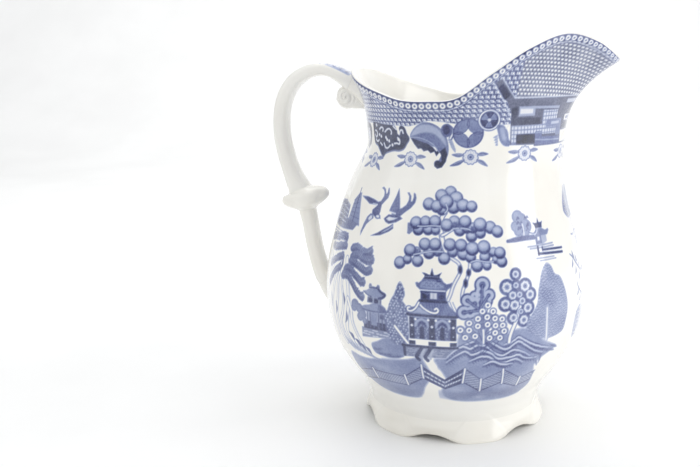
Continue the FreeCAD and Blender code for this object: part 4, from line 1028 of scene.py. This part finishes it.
def skin(name, rings, ink_and_shade=None, close=False, cap0=False, cap1=False):
    """Mesh from rings of points. Every ring runs the same way round; a ring may
    hold half or twice the points of its neighbour."""
    counts = [len(r) for r in rings]
    start = np.concatenate([[0], np.cumsum(counts)])
    pts = np.concatenate(rings)
    quads, tris = [], []
    pairs = [(j, j + 1) for j in range(len(rings) - 1)]
    if close:
        pairs.append((len(rings) - 1, 0))
    for a, b in pairs:
        na, nb = counts[a], counts[b]
        sa, sb = start[a], start[b]
        if na == nb:
            i = np.arange(na)
            k = (i + 1) % na
            quads.append(np.stack([sa + i, sa + k, sb + k, sb + i], 1))
        elif na == 2 * nb:
            i = np.arange(nb)
            a0, a1, a2 = sa + 2 * i, sa + 2 * i + 1, sa + (2 * i + 2) % na
            b0, b1 = sb + i, sb + (i + 1) % nb
            tris += [np.stack([a0, a1, b0], 1), np.stack([a1, a2, b1], 1), np.stack([a1, b1, b0], 1)]
        elif nb == 2 * na:
            i = np.arange(na)
            b0, b1, b2 = sb + 2 * i, sb + 2 * i + 1, sb + (2 * i + 2) % nb
            a0, a1 = sa + i, sa + (i + 1) % na
            tris += [np.stack([a0, b1, b0], 1), np.stack([a1, b2, b1], 1), np.stack([a0, a1, b1], 1)]
        else:
            raise ValueError("rings do not match")
    extra = []
    for on, ring, way in ((cap0, 0, 1), (cap1, len(rings) - 1, 0)):
        if on:
            c = len(pts) + len(extra)
            extra.append(rings[ring].mean(0))
            i = start[ring] + np.arange(counts[ring])
            k = start[ring] + (np.arange(counts[ring]) + 1) % counts[ring]
            cc = np.full(counts[ring], c)
            tris.append(np.stack([k, i, cc], 1) if way else np.stack([i, k, cc], 1))
    if extra:
        pts = np.concatenate([pts, np.array(extra)])
    q = np.concatenate(quads) if quads else np.zeros((0, 4), int)
    t = np.concatenate(tris) if tris else np.zeros((0, 3), int)
    me = bpy.data.meshes.new(name)
    me.vertices.add(len(pts))
    me.vertices.foreach_set("co", pts.astype(np.float32).ravel())
    me.loops.add(q.size + t.size)
    me.loops.foreach_set("vertex_index", np.concatenate([q.ravel(), t.ravel()]).astype(np.int32))
    me.polygons.add(len(q) + len(t))
    me.polygons.foreach_set("loop_start", np.concatenate(
        [np.arange(len(q)) * 4, q.size + np.arange(len(t)) * 3]).astype(np.int32))
    me.polygons.foreach_set("use_smooth", np.ones(len(q) + len(t), bool))
    me.update(calc_edges=True)
    me.validate()
    col = np.zeros((len(pts), 4), np.float32)
    col[:, 3] = 1
    if ink_and_shade is not None:
        flat = np.concatenate(ink_and_shade)
        col[:len(flat), :flat.shape[1]] = flat
    # the attribute holds ink, print grey and painted shade (with glaze pooling) in its three channels
    at = me.color_attributes.new(name="print_and_shade", type="FLOAT_COLOR", domain="POINT")
    at.data.foreach_set("color", col.ravel())
    ob = bpy.data.objects.new(name, me)
    bpy.context.scene.collection.objects.link(ob)
    return ob


def soften(a, n=1):
    for _ in range(n):
        a = 0.25 * np.roll(a, 1, 0) + 0.5 * a + 0.25 * np.roll(a, -1, 0)
        a = 0.25 * np.roll(a, 1, 1) + 0.5 * a + 0.25 * np.roll(a, -1, 1)
    return a


def sample(sheet, deg, z):
    u = (deg - sheet.d0) / sheet.dd
    v = (z - sheet.z0) / sheet.dz
    u = np.clip(u, 0, len(sheet.d) - 1.001)
    v = np.clip(v, 0, len(sheet.z) - 1.001)
    i, j = u.astype(int), v.astype(int)
    fu, fv = u - i, v - j
    out = []
    for a in (sheet.ink, sheet.grey):
        out.append((a[j, i] * (1 - fu) + a[j, i + 1] * fu) * (1 - fv)
                   + (a[j + 1, i] * (1 - fu) + a[j + 1, i + 1] * fu) * fv)
    return out


def ripple(deg, z):
    """Slight unevenness of hand finishing, under a tenth of a millimetre."""
    t = np.radians(deg)
    return (0.05 * np.sin(3 * t + 0.05 * z + 0.7) + 0.035 * np.sin(5 * t - 0.09 * z)
            + 0.03 * np.sin(0.21 * z + 2 * t) + 0.02 * np.sin(0.43 * z - 7 * t + 1.3))


belly = Sheet(-182, 20, 14, 102)
landscape(belly)
neck = Sheet(-182, 3, 100, 152)
border(neck)
for sh in (belly, neck):
    sh.ink = soften(sh.ink)
    sh.grey = soften(sh.grey)

# ---- body
COLS = 1120
DEG = np.arange(COLS) * 360.0 / COLS


def petal(deg, z):
    """Low pointed panel raised above each lobe of the foot."""
    off = 30.0 - np.abs(deg % (360.0 / LOBES) - 180.0 / LOBES)
    half = 20.5 * np.clip(1 - z / 11.8, 0, 1) ** 0.62
    side = (half - off) * 35.0 * math.pi / 180.0
    return 0.24 * step(-0.9, 0.9, side) * (1 - step(8.5, 12.0, z))


def wall_point(deg, z):
    return radius(deg, z) + ripple(deg, z) * step(10, 22, z) + petal(deg, z)


def wall_normal(deg, z):
    dr = radius(deg, z, False) - radius(deg, z - 0.4, False)
    n = np.hypot(dr, 0.4)
    return 0.4 / n, -dr / n


def polar(deg, r, z):
    t = np.radians(deg)
    return place(r * np.cos(t), r * np.sin(t), z)


def ink_at(deg, z):
    d = (deg + 180.0) % 360.0 - 180.0
    b_ink, b_grey = sample(belly, (d + 163.0) % 180.0 - 163.0, z)
    n_ink, n_grey = sample(neck, -np.abs(d), z)
    up = z > 100.8
    return np.where(up, n_ink, b_ink), np.where(up, n_grey, b_grey)


rings, ink_and_shade = [], []


# Each ring gets ink, print grey and a third value that paints shade, along with glaze pooling, by darkening the
# glaze
def add_ring(p, ink=None, grey=None, pool_and_shade=None):
    n = len(p)
    c = np.zeros((n, 3), np.float32)
    for k, v in enumerate((ink, grey, pool_and_shade)):
        if v is not None:
            c[:, k] = v
    rings.append(p)
    ink_and_shade.append(c)


def sparse(n):
    return np.arange(n) * 360.0 / n


# painted shade under the base: the pool value darkens the glaze there
for n, r in ((70, 5.0), (70, 12.0), (140, 19.0), (140, 24.0), (280, 28.5), (280, 31.2), (560, 32.4)):
    add_ring(polar(sparse(n), r, 5.8), pool_and_shade=0.15)
add_ring(polar(DEG, 33.1, 5.95), pool_and_shade=0.1)
# painted shade in the waist above the foot, strongest at the crease and gone by 12.5 mm up
for z in np.arange(7.2, 16.0, 0.55):
    add_ring(polar(DEG, wall_point(DEG, z), z), pool_and_shade=float(0.12 * (1 - step(8.5, 12.5, z))))
for z in np.arange(16.0, 100.5, 0.28):
    i, g = ink_at(DEG, z + 0 * DEG)
    add_ring(polar(DEG, wall_point(DEG, z), z), i, g, 0.0)
TOP = around(RIM_Z, DEG) - 0.6 * LIP
for s in np.linspace(0, 1, 176):
    z = 100.5 + (TOP - 100.5) * s
    i, g = ink_at(DEG, z)
    add_ring(polar(DEG, wall_point(DEG, z), z), i, g, 0.0)
nr, nz = wall_normal(DEG, TOP)
r0 = wall_point(DEG, TOP)
for a in np.linspace(0, math.pi, 18)[1:]:
    f, h = 0.5 * (1 - math.cos(a)), 0.66 * math.sin(a)
    z = TOP - nz * LIP * f + nr * LIP * h
    i, g = ink_at(DEG, z)
    keep = 1.0 - float(step(1.05, 1.30, a))
    add_ring(polar(DEG, r0 - nr * LIP * f - nz * LIP * h, z), i * keep, g, 0.0)
for n, s in ((1120, 0.985), (560, 0.96), (280, 0.93)):
    d = sparse(n)
    top = around(RIM_Z, d) - 0.6 * LIP
    z = 100.5 + (top - 100.5) * s
    a, b = wall_normal(d, z)
    add_ring(polar(d, radius(d, z) - a * LIP, z - b * LIP))
D2 = sparse(280)
TOP2 = around(RIM_Z, D2) - 0.6 * LIP
for s in np.linspace(0.90, 0.0, 26):
    z = 100.5 + (TOP2 - 100.5) * s
    a, b = wall_normal(D2, z)
    t = WALL + (LIP - WALL) * step(0.5, 1.0, s)
    add_ring(polar(D2, radius(D2, z, s > 0.3) - a * t, z - b * t))
for z in np.linspace(98.5, 24.0, 44):
    a, b = wall_normal(D2, z + 0 * D2)
    add_ring(polar(D2, radius(D2, z, False) - a * WALL, z - b * WALL))
path = resample([(40.0, 24.8), (36.0, 20.8), (32.8, 16.2), (28.6, 12.2), (24.2, 10.1), (21.0, 9.62),
                 (19.0, 9.6)], 3)
# painted shade on the inside floor: the pool value darkens the glaze there
for r, z in path[2:]:
    add_ring(polar(D2, r + 0 * D2, z), pool_and_shade=0.1)
for n, r in ((140, 14.0), (140, 9.0), (70, 4.5)):
    add_ring(polar(sparse(n), r, 9.6), pool_and_shade=0.1)
body_piece = skin("jug_body", rings, ink_and_shade, cap0=True, cap1=True)

# ---- foot
def foot_rings():
    n = 576
    deg = sparse(n)
    off = np.abs(deg % (360.0 / LOBES) - 180.0 / LOBES)
    k = step(ARCH_FLAT, ARCH_SPAN, off)
    section = [
        # radius and height on a lobe, then on an arch
        (33.0, 9.7, 33.0, 9.7), (33.9, 9.0, 33.9, 9.0), (34.15, 7.5, 34.1, 7.6),
        (34.6, 5.6, 34.35, 6.2), (35.3, 3.7, 34.65, 5.0), (35.95, 2.1, 34.95, 4.0),
        (LOBE_R, 0.9, ARCH_R, 3.3), (LOBE_R - 0.1, 0.0, ARCH_R - 0.2, ARCH_H + 0.1),
        (35.5, -0.75, 34.3, ARCH_H - 0.2),
        (34.3, -0.8, 33.6, ARCH_H - 0.2), (33.2, -0.8, 32.8, ARCH_H),
        (32.1, -0.7, 32.0, ARCH_H + 0.3), (31.1, 0.5, 31.1, ARCH_H + 0.7),
        (30.4, 2.7, 30.4, 4.4), (FOOT_IN_R, 5.0, FOOT_IN_R, 5.6),
        (FOOT_IN_R + 0.2, 7.3, FOOT_IN_R + 0.2, 7.4), (31.4, 9.3, 31.4, 9.3)]
    ctrl = np.array([[r0_ + (r1_ - r0_) * k, z0_ + (z1_ - z0_) * k] for r1_, z1_, r0_, z0_ in section])
    m = len(ctrl)
    out = []
    for i in range(m):
        a, b, c, d = (ctrl[(i + q) % m] for q in (-1, 0, 1, 2))
        for t in np.arange(6) / 6.0:
            # uniform cubic B-spline, the same curve as the potted foot
            v = ((1 - t) ** 3 * a + (3 * t ** 3 - 6 * t ** 2 + 4) * b
                 + (-3 * t ** 3 + 3 * t ** 2 + 3 * t + 1) * c + t ** 3 * d) / 6.0
            r, z = v[0], np.maximum(v[1], 0.0)
            out.append((r + petal(deg, z) * step(33.4, 34.0, r), z))
    rr = [polar(deg, r, z) for r, z in out]
    # painted shade under each arch of the foot: darker glaze low on the outer face where the arch lifts
    pool_and_shade = []
    for r, z in out:
        c = np.zeros((n, 3), np.float32)
        c[:, 2] = 0.30 * (1 - k) * step(33.5, 35.0, r) * (1 - step(4.0, 6.0, z))
        pool_and_shade.append(c)
    return rr, pool_and_shade


fr, fp = foot_rings()
foot_piece = skin("scalloped_foot", fr[::-1], fp[::-1], close=True)


# ---- handle
def path_rows(table, n):
    """Smooth rows along a path table: arc-length spaced."""
    t = np.array(table, float)
    ext = np.vstack([2 * t[0] - t[1], t, 2 * t[-1] - t[-2]])
    out = []
    for i in range(1, len(ext) - 2):
        a, b, c, d = ext[i - 1], ext[i], ext[i + 1], ext[i + 2]
        for s in np.arange(16) / 16.0:
            out.append(0.5 * (2 * b + (c - a) * s + (2 * a - 5 * b + 4 * c - d) * s ** 2
                              + (3 * b - a - 3 * c + d) * s ** 3))
    out.append(t[-1])
    out = np.array(out)
    run = np.concatenate([[0], np.cumsum(np.hypot(*np.diff(out[:, :2], axis=0).T))])
    q = np.linspace(0, run[-1], n)
    return np.stack([np.interp(q, run, out[:, k]) for k in range(out.shape[1])], 1), run[-1]


def tube_rings(table, n, sides, section, t0=None, t1=None):
    rows, length = path_rows(table, n)
    tan = np.gradient(rows[:, :2], axis=0)
    tan /= np.hypot(tan[:, 0], tan[:, 1])[:, None]
    for end, t in ((0, t0), (-1, t1)):
        if t is not None:
            v = np.array(t, float) / math.hypot(*t)
            for j in range(4):
                w = 1 - j / 4.0
                q = j if end == 0 else -1 - j
                tan[q] = tan[q] * (1 - w) + v * w
                tan[q] /= math.hypot(*tan[q])
    a = np.arange(sides) * 2 * math.pi / sides
    rr = []
    for j, row in enumerate(rows):
        tx, tz = tan[j]
        nx, nz = -tz, tx
        u, v = section(a, row, j / (n - 1.0))
        rr.append(place(row[0] + nx * u, v, row[1] + nz * u))
    return rr, rows, tan


def oval_section(a, row, s):
    c, sn = np.cos(a), np.sin(a)
    k = 1.0 + 0.36 * (c * sn) ** 2
    return row[2] * c * k, row[3] * sn * k


def strap_section(a, row, s):
    """Oval with a flat strap on the outer side, edged by a crisp step."""
    u, v = oval_section(a, row, s)
    w = row[3]
    fade = float(step(0.0, 0.05, s) * (1 - step(0.93, 1.0, s)))
    back = np.cos(a) < 0
    flat = -row[2] * 0.90
    u2 = np.where(np.abs(v) < 0.80 * w, np.minimum(flat + 0.22 * (v / w) ** 2, u * 0.0 + flat + 0.22), u)
    u2 = np.maximum(u2, -row[2] * 0.98)
    u = u + fade * (u2 - u) * back * step(0.30, 0.62, -np.cos(a))
    return u, v


LOOP = [
    (-41.2, 134.2, 3.85, 4.2), (-43.3, 135.4, 3.5, 4.1),
    (-47.0, 137.7, 3.0, 4.0), (-50.6, 139.3, 2.75, 4.0), (-54.3, 140.0, 2.7, 4.1),
    (-58.5, 139.6, 2.75, 4.2), (-62.3, 138.3, 2.85, 4.3), (-65.8, 136.2, 2.95, 4.35),
    (-68.8, 133.1, 3.0, 4.4), (-71.1, 129.2, 3.0, 4.4), (-72.7, 124.4, 3.0, 4.4),
    (-73.4, 118.4, 3.0, 4.4), (-73.2, 112.2, 3.05, 4.4), (-72.1, 106.2, 3.1, 4.4),
    (-70.7, 101.2, 3.2, 4.35), (-69.0, 96.6, 3.5, 4.4), (-67.2, 92.6, 4.2, 4.6),
    (-66.2, 90.2, 4.7, 4.9), (-65.9, 89.4, 4.8, 4.9)]
STEM = [
    (-63.0, 82.6, 3.4, 3.85), (-62.9, 81.6, 3.35, 3.85), (-61.9, 77.0, 3.1, 3.8),
    (-61.2, 72.6, 3.05, 3.8), (-60.5, 68.2, 3.05, 3.8), (-59.6, 63.9, 3.05, 3.8),
    (-58.4, 59.4, 3.15, 3.85), (-56.9, 55.0, 3.35, 3.9), (-55.0, 51.4, 3.7, 4.1)]
LOW_SEAM = [
    (-55.0, 51.4, 3.7, 4.1), (-53.5, 49.4, 4.2, 4.6), (-51.6, 47.6, 5.0, 5.4),
    (-49.2, 46.1, 6.1, 6.6), (-46.0, 44.8, 7.1, 7.6)]
TOP_SEAM = [
    (-41.2, 134.2, 3.85, 4.2), (-39.4, 133.2, 4.15, 4.5), (-37.2, 131.9, 4.6, 5.0),
    (-34.5, 130.3, 5.2, 5.8), (-31.0, 128.0, 5.7, 6.4)]
SCROLL = [
    (-31.5, 127.4, 3.4, 3.6), (-34.5, 127.0, 3.2, 3.5), (-37.2, 126.9, 3.1, 3.4),
    (-39.6, 127.3, 3.5, 3.4), (-41.6, 128.0, 4.3, 3.5), (-43.5, 128.5, 4.7, 3.5),
    (-45.3, 128.8, 4.4, 3.3), (-46.7, 129.0, 3.6, 2.9), (-47.7, 129.1, 2.4, 2.1),
    (-48.1, 129.2, 1.1, 1.0)]
SCROLL_EYE = (-43.6, 128.7)
KNOP = [
    (-66.2, 90.2, 4.7, 4.9, 22.0), (-65.3, 89.6, 6.9, 5.7, 16.0),
    (-64.6, 89.0, 8.7, 6.6, 11.0), (-64.1, 88.0, 9.6, 7.2, 8.0),
    (-63.8, 86.8, 10.0, 7.4, 7.0), (-63.6, 85.6, 9.8, 7.3, 6.0),
    (-63.5, 84.4, 8.9, 6.8, 6.0), (-63.3, 83.4, 7.1, 5.9, 7.0),
    (-63.1, 82.5, 5.0, 4.7, 8.0), (-62.9, 81.6, 3.35, 3.85, 9.0)]


def into_wall(ring, depth=1.2):
    """Points that would pass through the wall stop inside its thickness."""
    x = ring[:, 0] * 1000 - BELLY_X
    y = ring[:, 1] * 1000
    z = ring[:, 2] * 1000
    deg = np.degrees(np.arctan2(y, x))
    r = np.hypot(x, y)
    lo = radius(deg, z, False) - depth
    f = np.where(r < lo, lo / np.maximum(r, 1e-6), 1.0)
    return place(x * f, y * f, z)


rr, rows, tan = tube_rings(LOOP, 240, 72, strap_section, t0=(-1.8, 1.12),
                           t1=(math.sin(math.radians(22)), -math.cos(math.radians(22))))
sides = 72
ang = np.arange(sides) * 2 * math.pi / sides
hank = []
for j in range(len(rr)):
    c = np.zeros((sides, 3), np.float32)
    v = rows[j, 3] * np.sin(ang) * (1 + 0.36 * (np.cos(ang) * np.sin(ang)) ** 2)
    q = j / (len(rr) - 1.0)
    along = q * 92.0
    face = np.clip((3.75 - np.abs(v)) / 0.35, 0, 1) * (np.cos(ang) < -0.05)
    # sprig of paired leaves with white berries, densest beside the neck
    fade = float(step(0.015, 0.04, q) * (1 - step(0.24, 0.38, q)))
    vine = np.exp(-((v - 0.8 * math.sin(along * 0.62)) / 0.34) ** 2)
    leaf = np.clip(1.2 - np.hypot((along % 3.2 - 1.6) / 1.25, (np.abs(v) - 2.05) / 1.05), 0, 1) * 2.4
    berry = np.exp(-(np.hypot(along % 4.2 - 2.1, v - 1.1 * (1 if int(along / 4.2) % 2 else -1)) / 0.62) ** 2)
    ground = 0.30 * float(1 - step(0.10, 0.20, q))
    c[:, 0] = np.clip(ground + 0.50 * vine + 0.52 * np.clip(leaf, 0, 1) - 1.1 * berry, 0, 0.86) * face * fade
    c[:, 1] = 0.12
    hank.append(c)
loop_piece = skin("handle_loop_strap", [r[::-1] for r in rr], [c[::-1] for c in hank], cap0=True, cap1=True)

rr, _, _ = tube_rings(STEM, 110, 64, strap_section, t0=(math.sin(math.radians(9)), -math.cos(math.radians(9))),
                      t1=(1.55, -1.85))
stem_piece = skin("handle_lower_stem", [r[::-1] for r in rr], cap0=True, cap1=True)
rr, _, _ = tube_rings(LOW_SEAM, 46, 64, oval_section, t0=(1.55, -1.85))
low_piece = skin("lower_root_seam", [into_wall(r)[::-1] for r in rr], cap0=True, cap1=True)
rr, _, _ = tube_rings(TOP_SEAM, 46, 64, oval_section, t0=(1.8, -1.12))
top_piece = skin("upper_root_seam", [into_wall(r)[::-1] for r in rr], cap0=True, cap1=True)

def groove(ring):
    """Sink a spiral line into the cheeks of the scroll."""
    x = ring[:, 0] * 1000 - BELLY_X - SCROLL_EYE[0]
    y = ring[:, 1] * 1000
    z = ring[:, 2] * 1000 - SCROLL_EYE[1]
    r = np.hypot(x, z)
    turn = (np.arctan2(z, x) / (2 * math.pi)) % 1.0
    pitch = 2.1
    near = np.abs((r - 0.35 - pitch * (1 - turn) + 0.5 * pitch) % pitch - 0.5 * pitch)
    sink = 0.50 * np.exp(-(near / 0.42) ** 2) * (1 - step(3.9, 5.0, r)) * np.clip(np.abs(y) / 2.2, 0, 1)
    boss = 0.30 * np.exp(-(r / 0.9) ** 2)
    return place(x + SCROLL_EYE[0], y - np.sign(y) * (sink - boss), z + SCROLL_EYE[1])


rr, _, _ = tube_rings(SCROLL, 150, 120, oval_section)
curl_piece = skin("volute_scroll", [groove(into_wall(r))[::-1] for r in rr], cap0=True, cap1=True)


def knop_rings():
    t, _ = path_rows([(z, x, a, b, tilt) for x, z, a, b, tilt in KNOP], 84)
    sides = 160
    a = np.arange(sides) * 2 * math.pi / sides
    out, n = [], len(t)
    for j, (z, x, ha, hb, tilt) in enumerate(t):
        q = j / (n - 1.0)
        tt = math.radians(tilt)
        tx, tz = math.sin(tt), -math.cos(tt)
        nx, nz = -tz, tx
        f = math.sin(math.pi * q) ** 1.3
        # rounded leaf lobes with a fine vein between each pair
        lobes = 1.0 + f * (0.055 * np.cos(5 * a) - 0.030 * np.abs(np.sin(2.5 * a)) ** 8)
        c, sn = np.cos(a), np.sin(a)
        k = (1.0 + 0.1 * (c * sn) ** 2) * lobes
        u, v = ha * c * k, hb * sn * k
        curl = np.clip(c, 0, 1) ** 2 * f * 1.5           # inner leaf tip curls up
        curl = curl - np.clip(-c, 0, 1) ** 3 * f * 0.5
        out.append(place(x + nx * u, v, z + nz * u + curl))
    return out


kr = knop_rings()
knop_piece = skin("leaf_knop", [r[::-1] for r in kr], cap0=True, cap1=True)


# ----------------------------------------------------------------- materials
def srgb(h):
    v = [int(h[i:i + 2], 16) / 255.0 for i in (0, 2, 4)]
    return tuple(((c / 12.92) if c <= 0.04045 else ((c + 0.055) / 1.055) ** 2.4) for c in v) + (1.0,)


BLUES = [(0.0, "f4f2ec"), (0.14, "c6ccdf"), (0.28, "a2adcc"), (0.42, "8490b6"), (0.55, "67729f"),
         (0.68, "495287"), (0.82, "2f3669"), (1.0, "1a1e45")]
GREYS = [(0.0, "f4f2ec"), (0.14, "cbcfd9"), (0.28, "a9aebf"), (0.42, "8a90a8"), (0.55, "6d738d"),
         (0.68, "515772"), (0.82, "373d59"), (1.0, "222738")]


def ramp(nt, stops, fac):
    n = nt.nodes.new("ShaderNodeValToRGB")
    while len(n.color_ramp.elements) > 1:
        n.color_ramp.elements.remove(n.color_ramp.elements[-1])
    n.color_ramp.elements[0].position = stops[0][0]
    n.color_ramp.elements[0].color = srgb(stops[0][1])
    for p, h in stops[1:]:
        e = n.color_ramp.elements.new(p)
        e.color = srgb(h)
    nt.links.new(fac, n.inputs["Fac"])
    return n.outputs["Color"]


def noise(nt, vec, scale, detail, rough=0.5):
    n = nt.nodes.new("ShaderNodeTexNoise")
    n.inputs["Scale"].default_value = scale
    n.inputs["Detail"].default_value = detail
    n.inputs["Roughness"].default_value = rough
    nt.links.new(vec, n.inputs["Vector"])
    return n.outputs["Fac"]


def remap(nt, val, a, b, c, d):
    n = nt.nodes.new("ShaderNodeMapRange")
    n.inputs["From Min"].default_value = a
    n.inputs["From Max"].default_value = b
    n.inputs["To Min"].default_value = c
    n.inputs["To Max"].default_value = d
    nt.links.new(val, n.inputs["Value"])
    return n.outputs["Result"]


def mathn(nt, op, a, b=None, clamp=False):
    n = nt.nodes.new("ShaderNodeMath")
    n.operation = op
    n.use_clamp = clamp
    nt.links.new(a, n.inputs[0])
    if b is not None:
        nt.links.new(b, n.inputs[1])
    return n.outputs[0]


def mix(nt, fac, a, b, how="MIX"):
    n = nt.nodes.new("ShaderNodeMix")
    n.data_type = "RGBA"
    n.blend_type = how
    col = [s for s in n.inputs if s.type == "RGBA"]
    out = [s for s in n.outputs if s.type == "RGBA"][0]
    for sock, v in ((n.inputs[0], fac), (col[0], a), (col[1], b)):
        if isinstance(v, (float, tuple)):
            sock.default_value = v
        else:
            nt.links.new(v, sock)
    return out


def porcelain(name, printed):
    m = bpy.data.materials.new(name)
    m.use_nodes = True
    nt = m.node_tree
    nt.nodes.clear()
    out = nt.nodes.new("ShaderNodeOutputMaterial")
    p = nt.nodes.new("ShaderNodeBsdfPrincipled")
    nt.links.new(p.outputs["BSDF"], out.inputs["Surface"])
    tc = nt.nodes.new("ShaderNodeTexCoord")
    vec = tc.outputs["Object"]
    at = nt.nodes.new("ShaderNodeAttribute")
    at.attribute_name = "print_and_shade"
    sep = nt.nodes.new("ShaderNodeSeparateColor")
    nt.links.new(at.outputs["Color"], sep.inputs["Color"])
    broad = noise(nt, vec, 34.0, 3.0)
    # warm ivory glaze with faint cloudiness; the attribute's blue channel mixes in a darker grey-beige, painted
    # shade under the base, in the waist crease, on the inside floor and under the foot arches, where glaze also
    # pools
    tones = ("f0ede6", "f4f2eb", "f7f6f1") if printed else ("f0ece1", "f4f1e8", "f7f5ee")
    glaze = ramp(nt, list(zip((0.30, 0.5, 0.72), tones)), broad)
    glaze_and_shade = mix(nt, sep.outputs["Blue"], glaze, srgb("c9c3b4"))
    if printed:
        fine = noise(nt, vec, 1500.0, 2.0, 0.6)
        cloud = noise(nt, vec, 110.0, 3.0, 0.55)
        k = mathn(nt, "MULTIPLY", remap(nt, fine, 0.3, 0.7, 0.82, 1.01), remap(nt, cloud, 0.3, 0.7, 0.83, 1.09))
        ink = mathn(nt, "MULTIPLY", sep.outputs["Red"], k, True)
        blue = ramp(nt, BLUES, ink)
        grey = ramp(nt, GREYS, ink)
        both = mix(nt, sep.outputs["Green"], blue, grey)
        cover = remap(nt, sep.outputs["Red"], 0.0, 0.12, 0.0, 1.0)
        col = mix(nt, cover, glaze_and_shade, both)
        nt.links.new(col, p.inputs["Base Color"])
    else:
        nt.links.new(glaze_and_shade, p.inputs["Base Color"])
    rough = remap(nt, noise(nt, vec, 60.0, 4.0, 0.6), 0.3, 0.7, 0.10, 0.19)
    nt.links.new(rough, p.inputs["Roughness"])
    p.inputs["IOR"].default_value = 1.5
    p.inputs["Specular IOR Level"].default_value = 0.5
    p.inputs["Coat Weight"].default_value = 0.6
    p.inputs["Coat Roughness"].default_value = 0.06
    p.inputs["Coat IOR"].default_value = 1.5
    b1 = nt.nodes.new("ShaderNodeBump")
    b1.inputs["Strength"].default_value = 0.06
    b1.inputs["Distance"].default_value = 0.0006
    nt.links.new(noise(nt, vec, 70.0, 2.0), b1.inputs["Height"])
    b2 = nt.nodes.new("ShaderNodeBump")
    b2.inputs["Strength"].default_value = 0.03
    b2.inputs["Distance"].default_value = 0.0002
    nt.links.new(noise(nt, vec, 420.0, 2.0), b2.inputs["Height"])
    nt.links.new(b1.outputs["Normal"], b2.inputs["Normal"])
    nt.links.new(b2.outputs["Normal"], p.inputs["Normal"])
    return m


mat_body = porcelain("printed_porcelain", True)
mat_handle = porcelain("printed_handle", True)
mat_plain = porcelain("ivory_glaze", False)
for piece, node, mat, slot in (
        (body_piece, "body_shell", mat_body, "printed_porcelain"),
        (foot_piece, "foot_ring", mat_plain, "ivory_glaze"),
        (loop_piece, "handle_loop", mat_handle, "printed_handle"),
        (stem_piece, "handle_stem", mat_plain, "ivory_glaze"),
        (low_piece, "lower_slip_seam", mat_plain, "ivory_glaze"),
        (top_piece, "upper_slip_seam", mat_plain, "ivory_glaze"),
        (curl_piece, "handle_scroll", mat_plain, "ivory_glaze"),
        (knop_piece, "handle_knop", mat_plain, "ivory_glaze")):
    piece.data.materials.append(mat)
    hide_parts(node)
    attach(piece, "root")
    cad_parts[node].data.materials.clear()
    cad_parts[node].data.materials.append(mat)


# -------------------------------------------------------------- floor, light
def backdrop():
    prof = [(-1.6, 0.0), (0.9, 0.0)]
    for a in np.linspace(0, 90, 19)[1:]:
        t = math.radians(a)
        prof.append((0.9 + 0.5 * math.sin(t), 0.5 - 0.5 * math.cos(t)))
    prof.append((1.4, 2.4))
    verts, faces = [], []
    head = math.radians(20.24)
    for x in (-2.6, 2.6):
        for d, z in prof:
            verts.append((x * math.cos(head) - d * math.sin(head), x * math.sin(head) + d * math.cos(head), z))
    n = len(prof)
    for i in range(n - 1):
        faces.append((i, n + i, n + i + 1, i + 1))
    me = bpy.data.meshes.new("floor_sweep")
    me.from_pydata(verts, [], faces)
    for f in me.polygons:
        f.use_smooth = True
    ob = bpy.data.objects.new("floor_sweep", me)
    bpy.context.scene.collection.objects.link(ob)
    m = bpy.data.materials.new("paper_sweep")
    m.use_nodes = True
    nt = m.node_tree
    p = nt.nodes["Principled BSDF"]
    tc = nt.nodes.new("ShaderNodeTexCoord")
    col = ramp(nt, [(0.35, "f2f2f1"), (0.65, "f6f6f5")], noise(nt, tc.outputs["Object"], 9.0, 3.0))
    nt.links.new(col, p.inputs["Base Color"])
    p.inputs["Roughness"].default_value = 0.55
    ob.data.materials.append(m)
    return ob


backdrop()


def softbox(name, where, aim, size, power, tint=(1, 1, 1), size_y=None):
    d = bpy.data.lights.new(name, "AREA")
    d.shape = "RECTANGLE"
    d.size = size
    d.size_y = size_y or size
    d.energy = power
    d.color = tint
    o = bpy.data.objects.new(name, d)
    o.location = where
    o.rotation_euler = (Vector(aim) - Vector(where)).to_track_quat("-Z", "Y").to_euler()
    bpy.context.scene.collection.objects.link(o)
    return o


softbox("key_right", (1.05, -0.12, 0.48), (0, 0, 0.07), 0.9, 5.6, (1.0, 0.99, 0.975), 1.1)
softbox("top", (0.0, 0.1, 1.15), (0, 0, 0.0), 1.1, 4.0)
softbox("fill_left", (-0.9, -0.6, 0.55), (0, 0, 0.07), 0.9, 1.3, (0.97, 0.985, 1.0))
softbox("back_wash", (0.0, 0.55, 1.1), (-0.3, 1.35, 0.45), 1.2, 4.6)

world = bpy.data.worlds.new("studio")
bpy.context.scene.world = world
world.use_nodes = True
world.node_tree.nodes["Background"].inputs["Color"].default_value = (0.97, 0.98, 1.0, 1.0)
world.node_tree.nodes["Background"].inputs["Strength"].default_value = 0.70

# -------------------------------------------------------------------- camera
cam_data = bpy.data.cameras.new("camera")
cam_data.sensor_fit = "HORIZONTAL"
cam_data.sensor_width = 36.0
cam_data.lens = 43.30
cam = bpy.data.objects.new("camera", cam_data)
bpy.context.scene.collection.objects.link(cam)
heading, pitch, roll = math.radians(20.243), math.radians(11.223), math.radians(-1.316)
fwd = Vector((-math.sin(heading) * math.cos(pitch), math.cos(heading) * math.cos(pitch), -math.sin(pitch)))
right = Vector((math.cos(heading), math.sin(heading), 0.0))
up = right.cross(fwd)
r2 = math.cos(roll) * right + math.sin(roll) * up
u2 = -math.sin(roll) * right + math.cos(roll) * up
rot = Matrix((r2, u2, -fwd)).transposed().to_4x4()
rot.translation = Vector((0.08365, -0.32593, 0.14079))
cam.matrix_world = rot
bpy.context.scene.camera = cam
bpy.context.scene.view_settings.view_transform = "Standard"
bpy.context.scene.view_settings.look = "None"
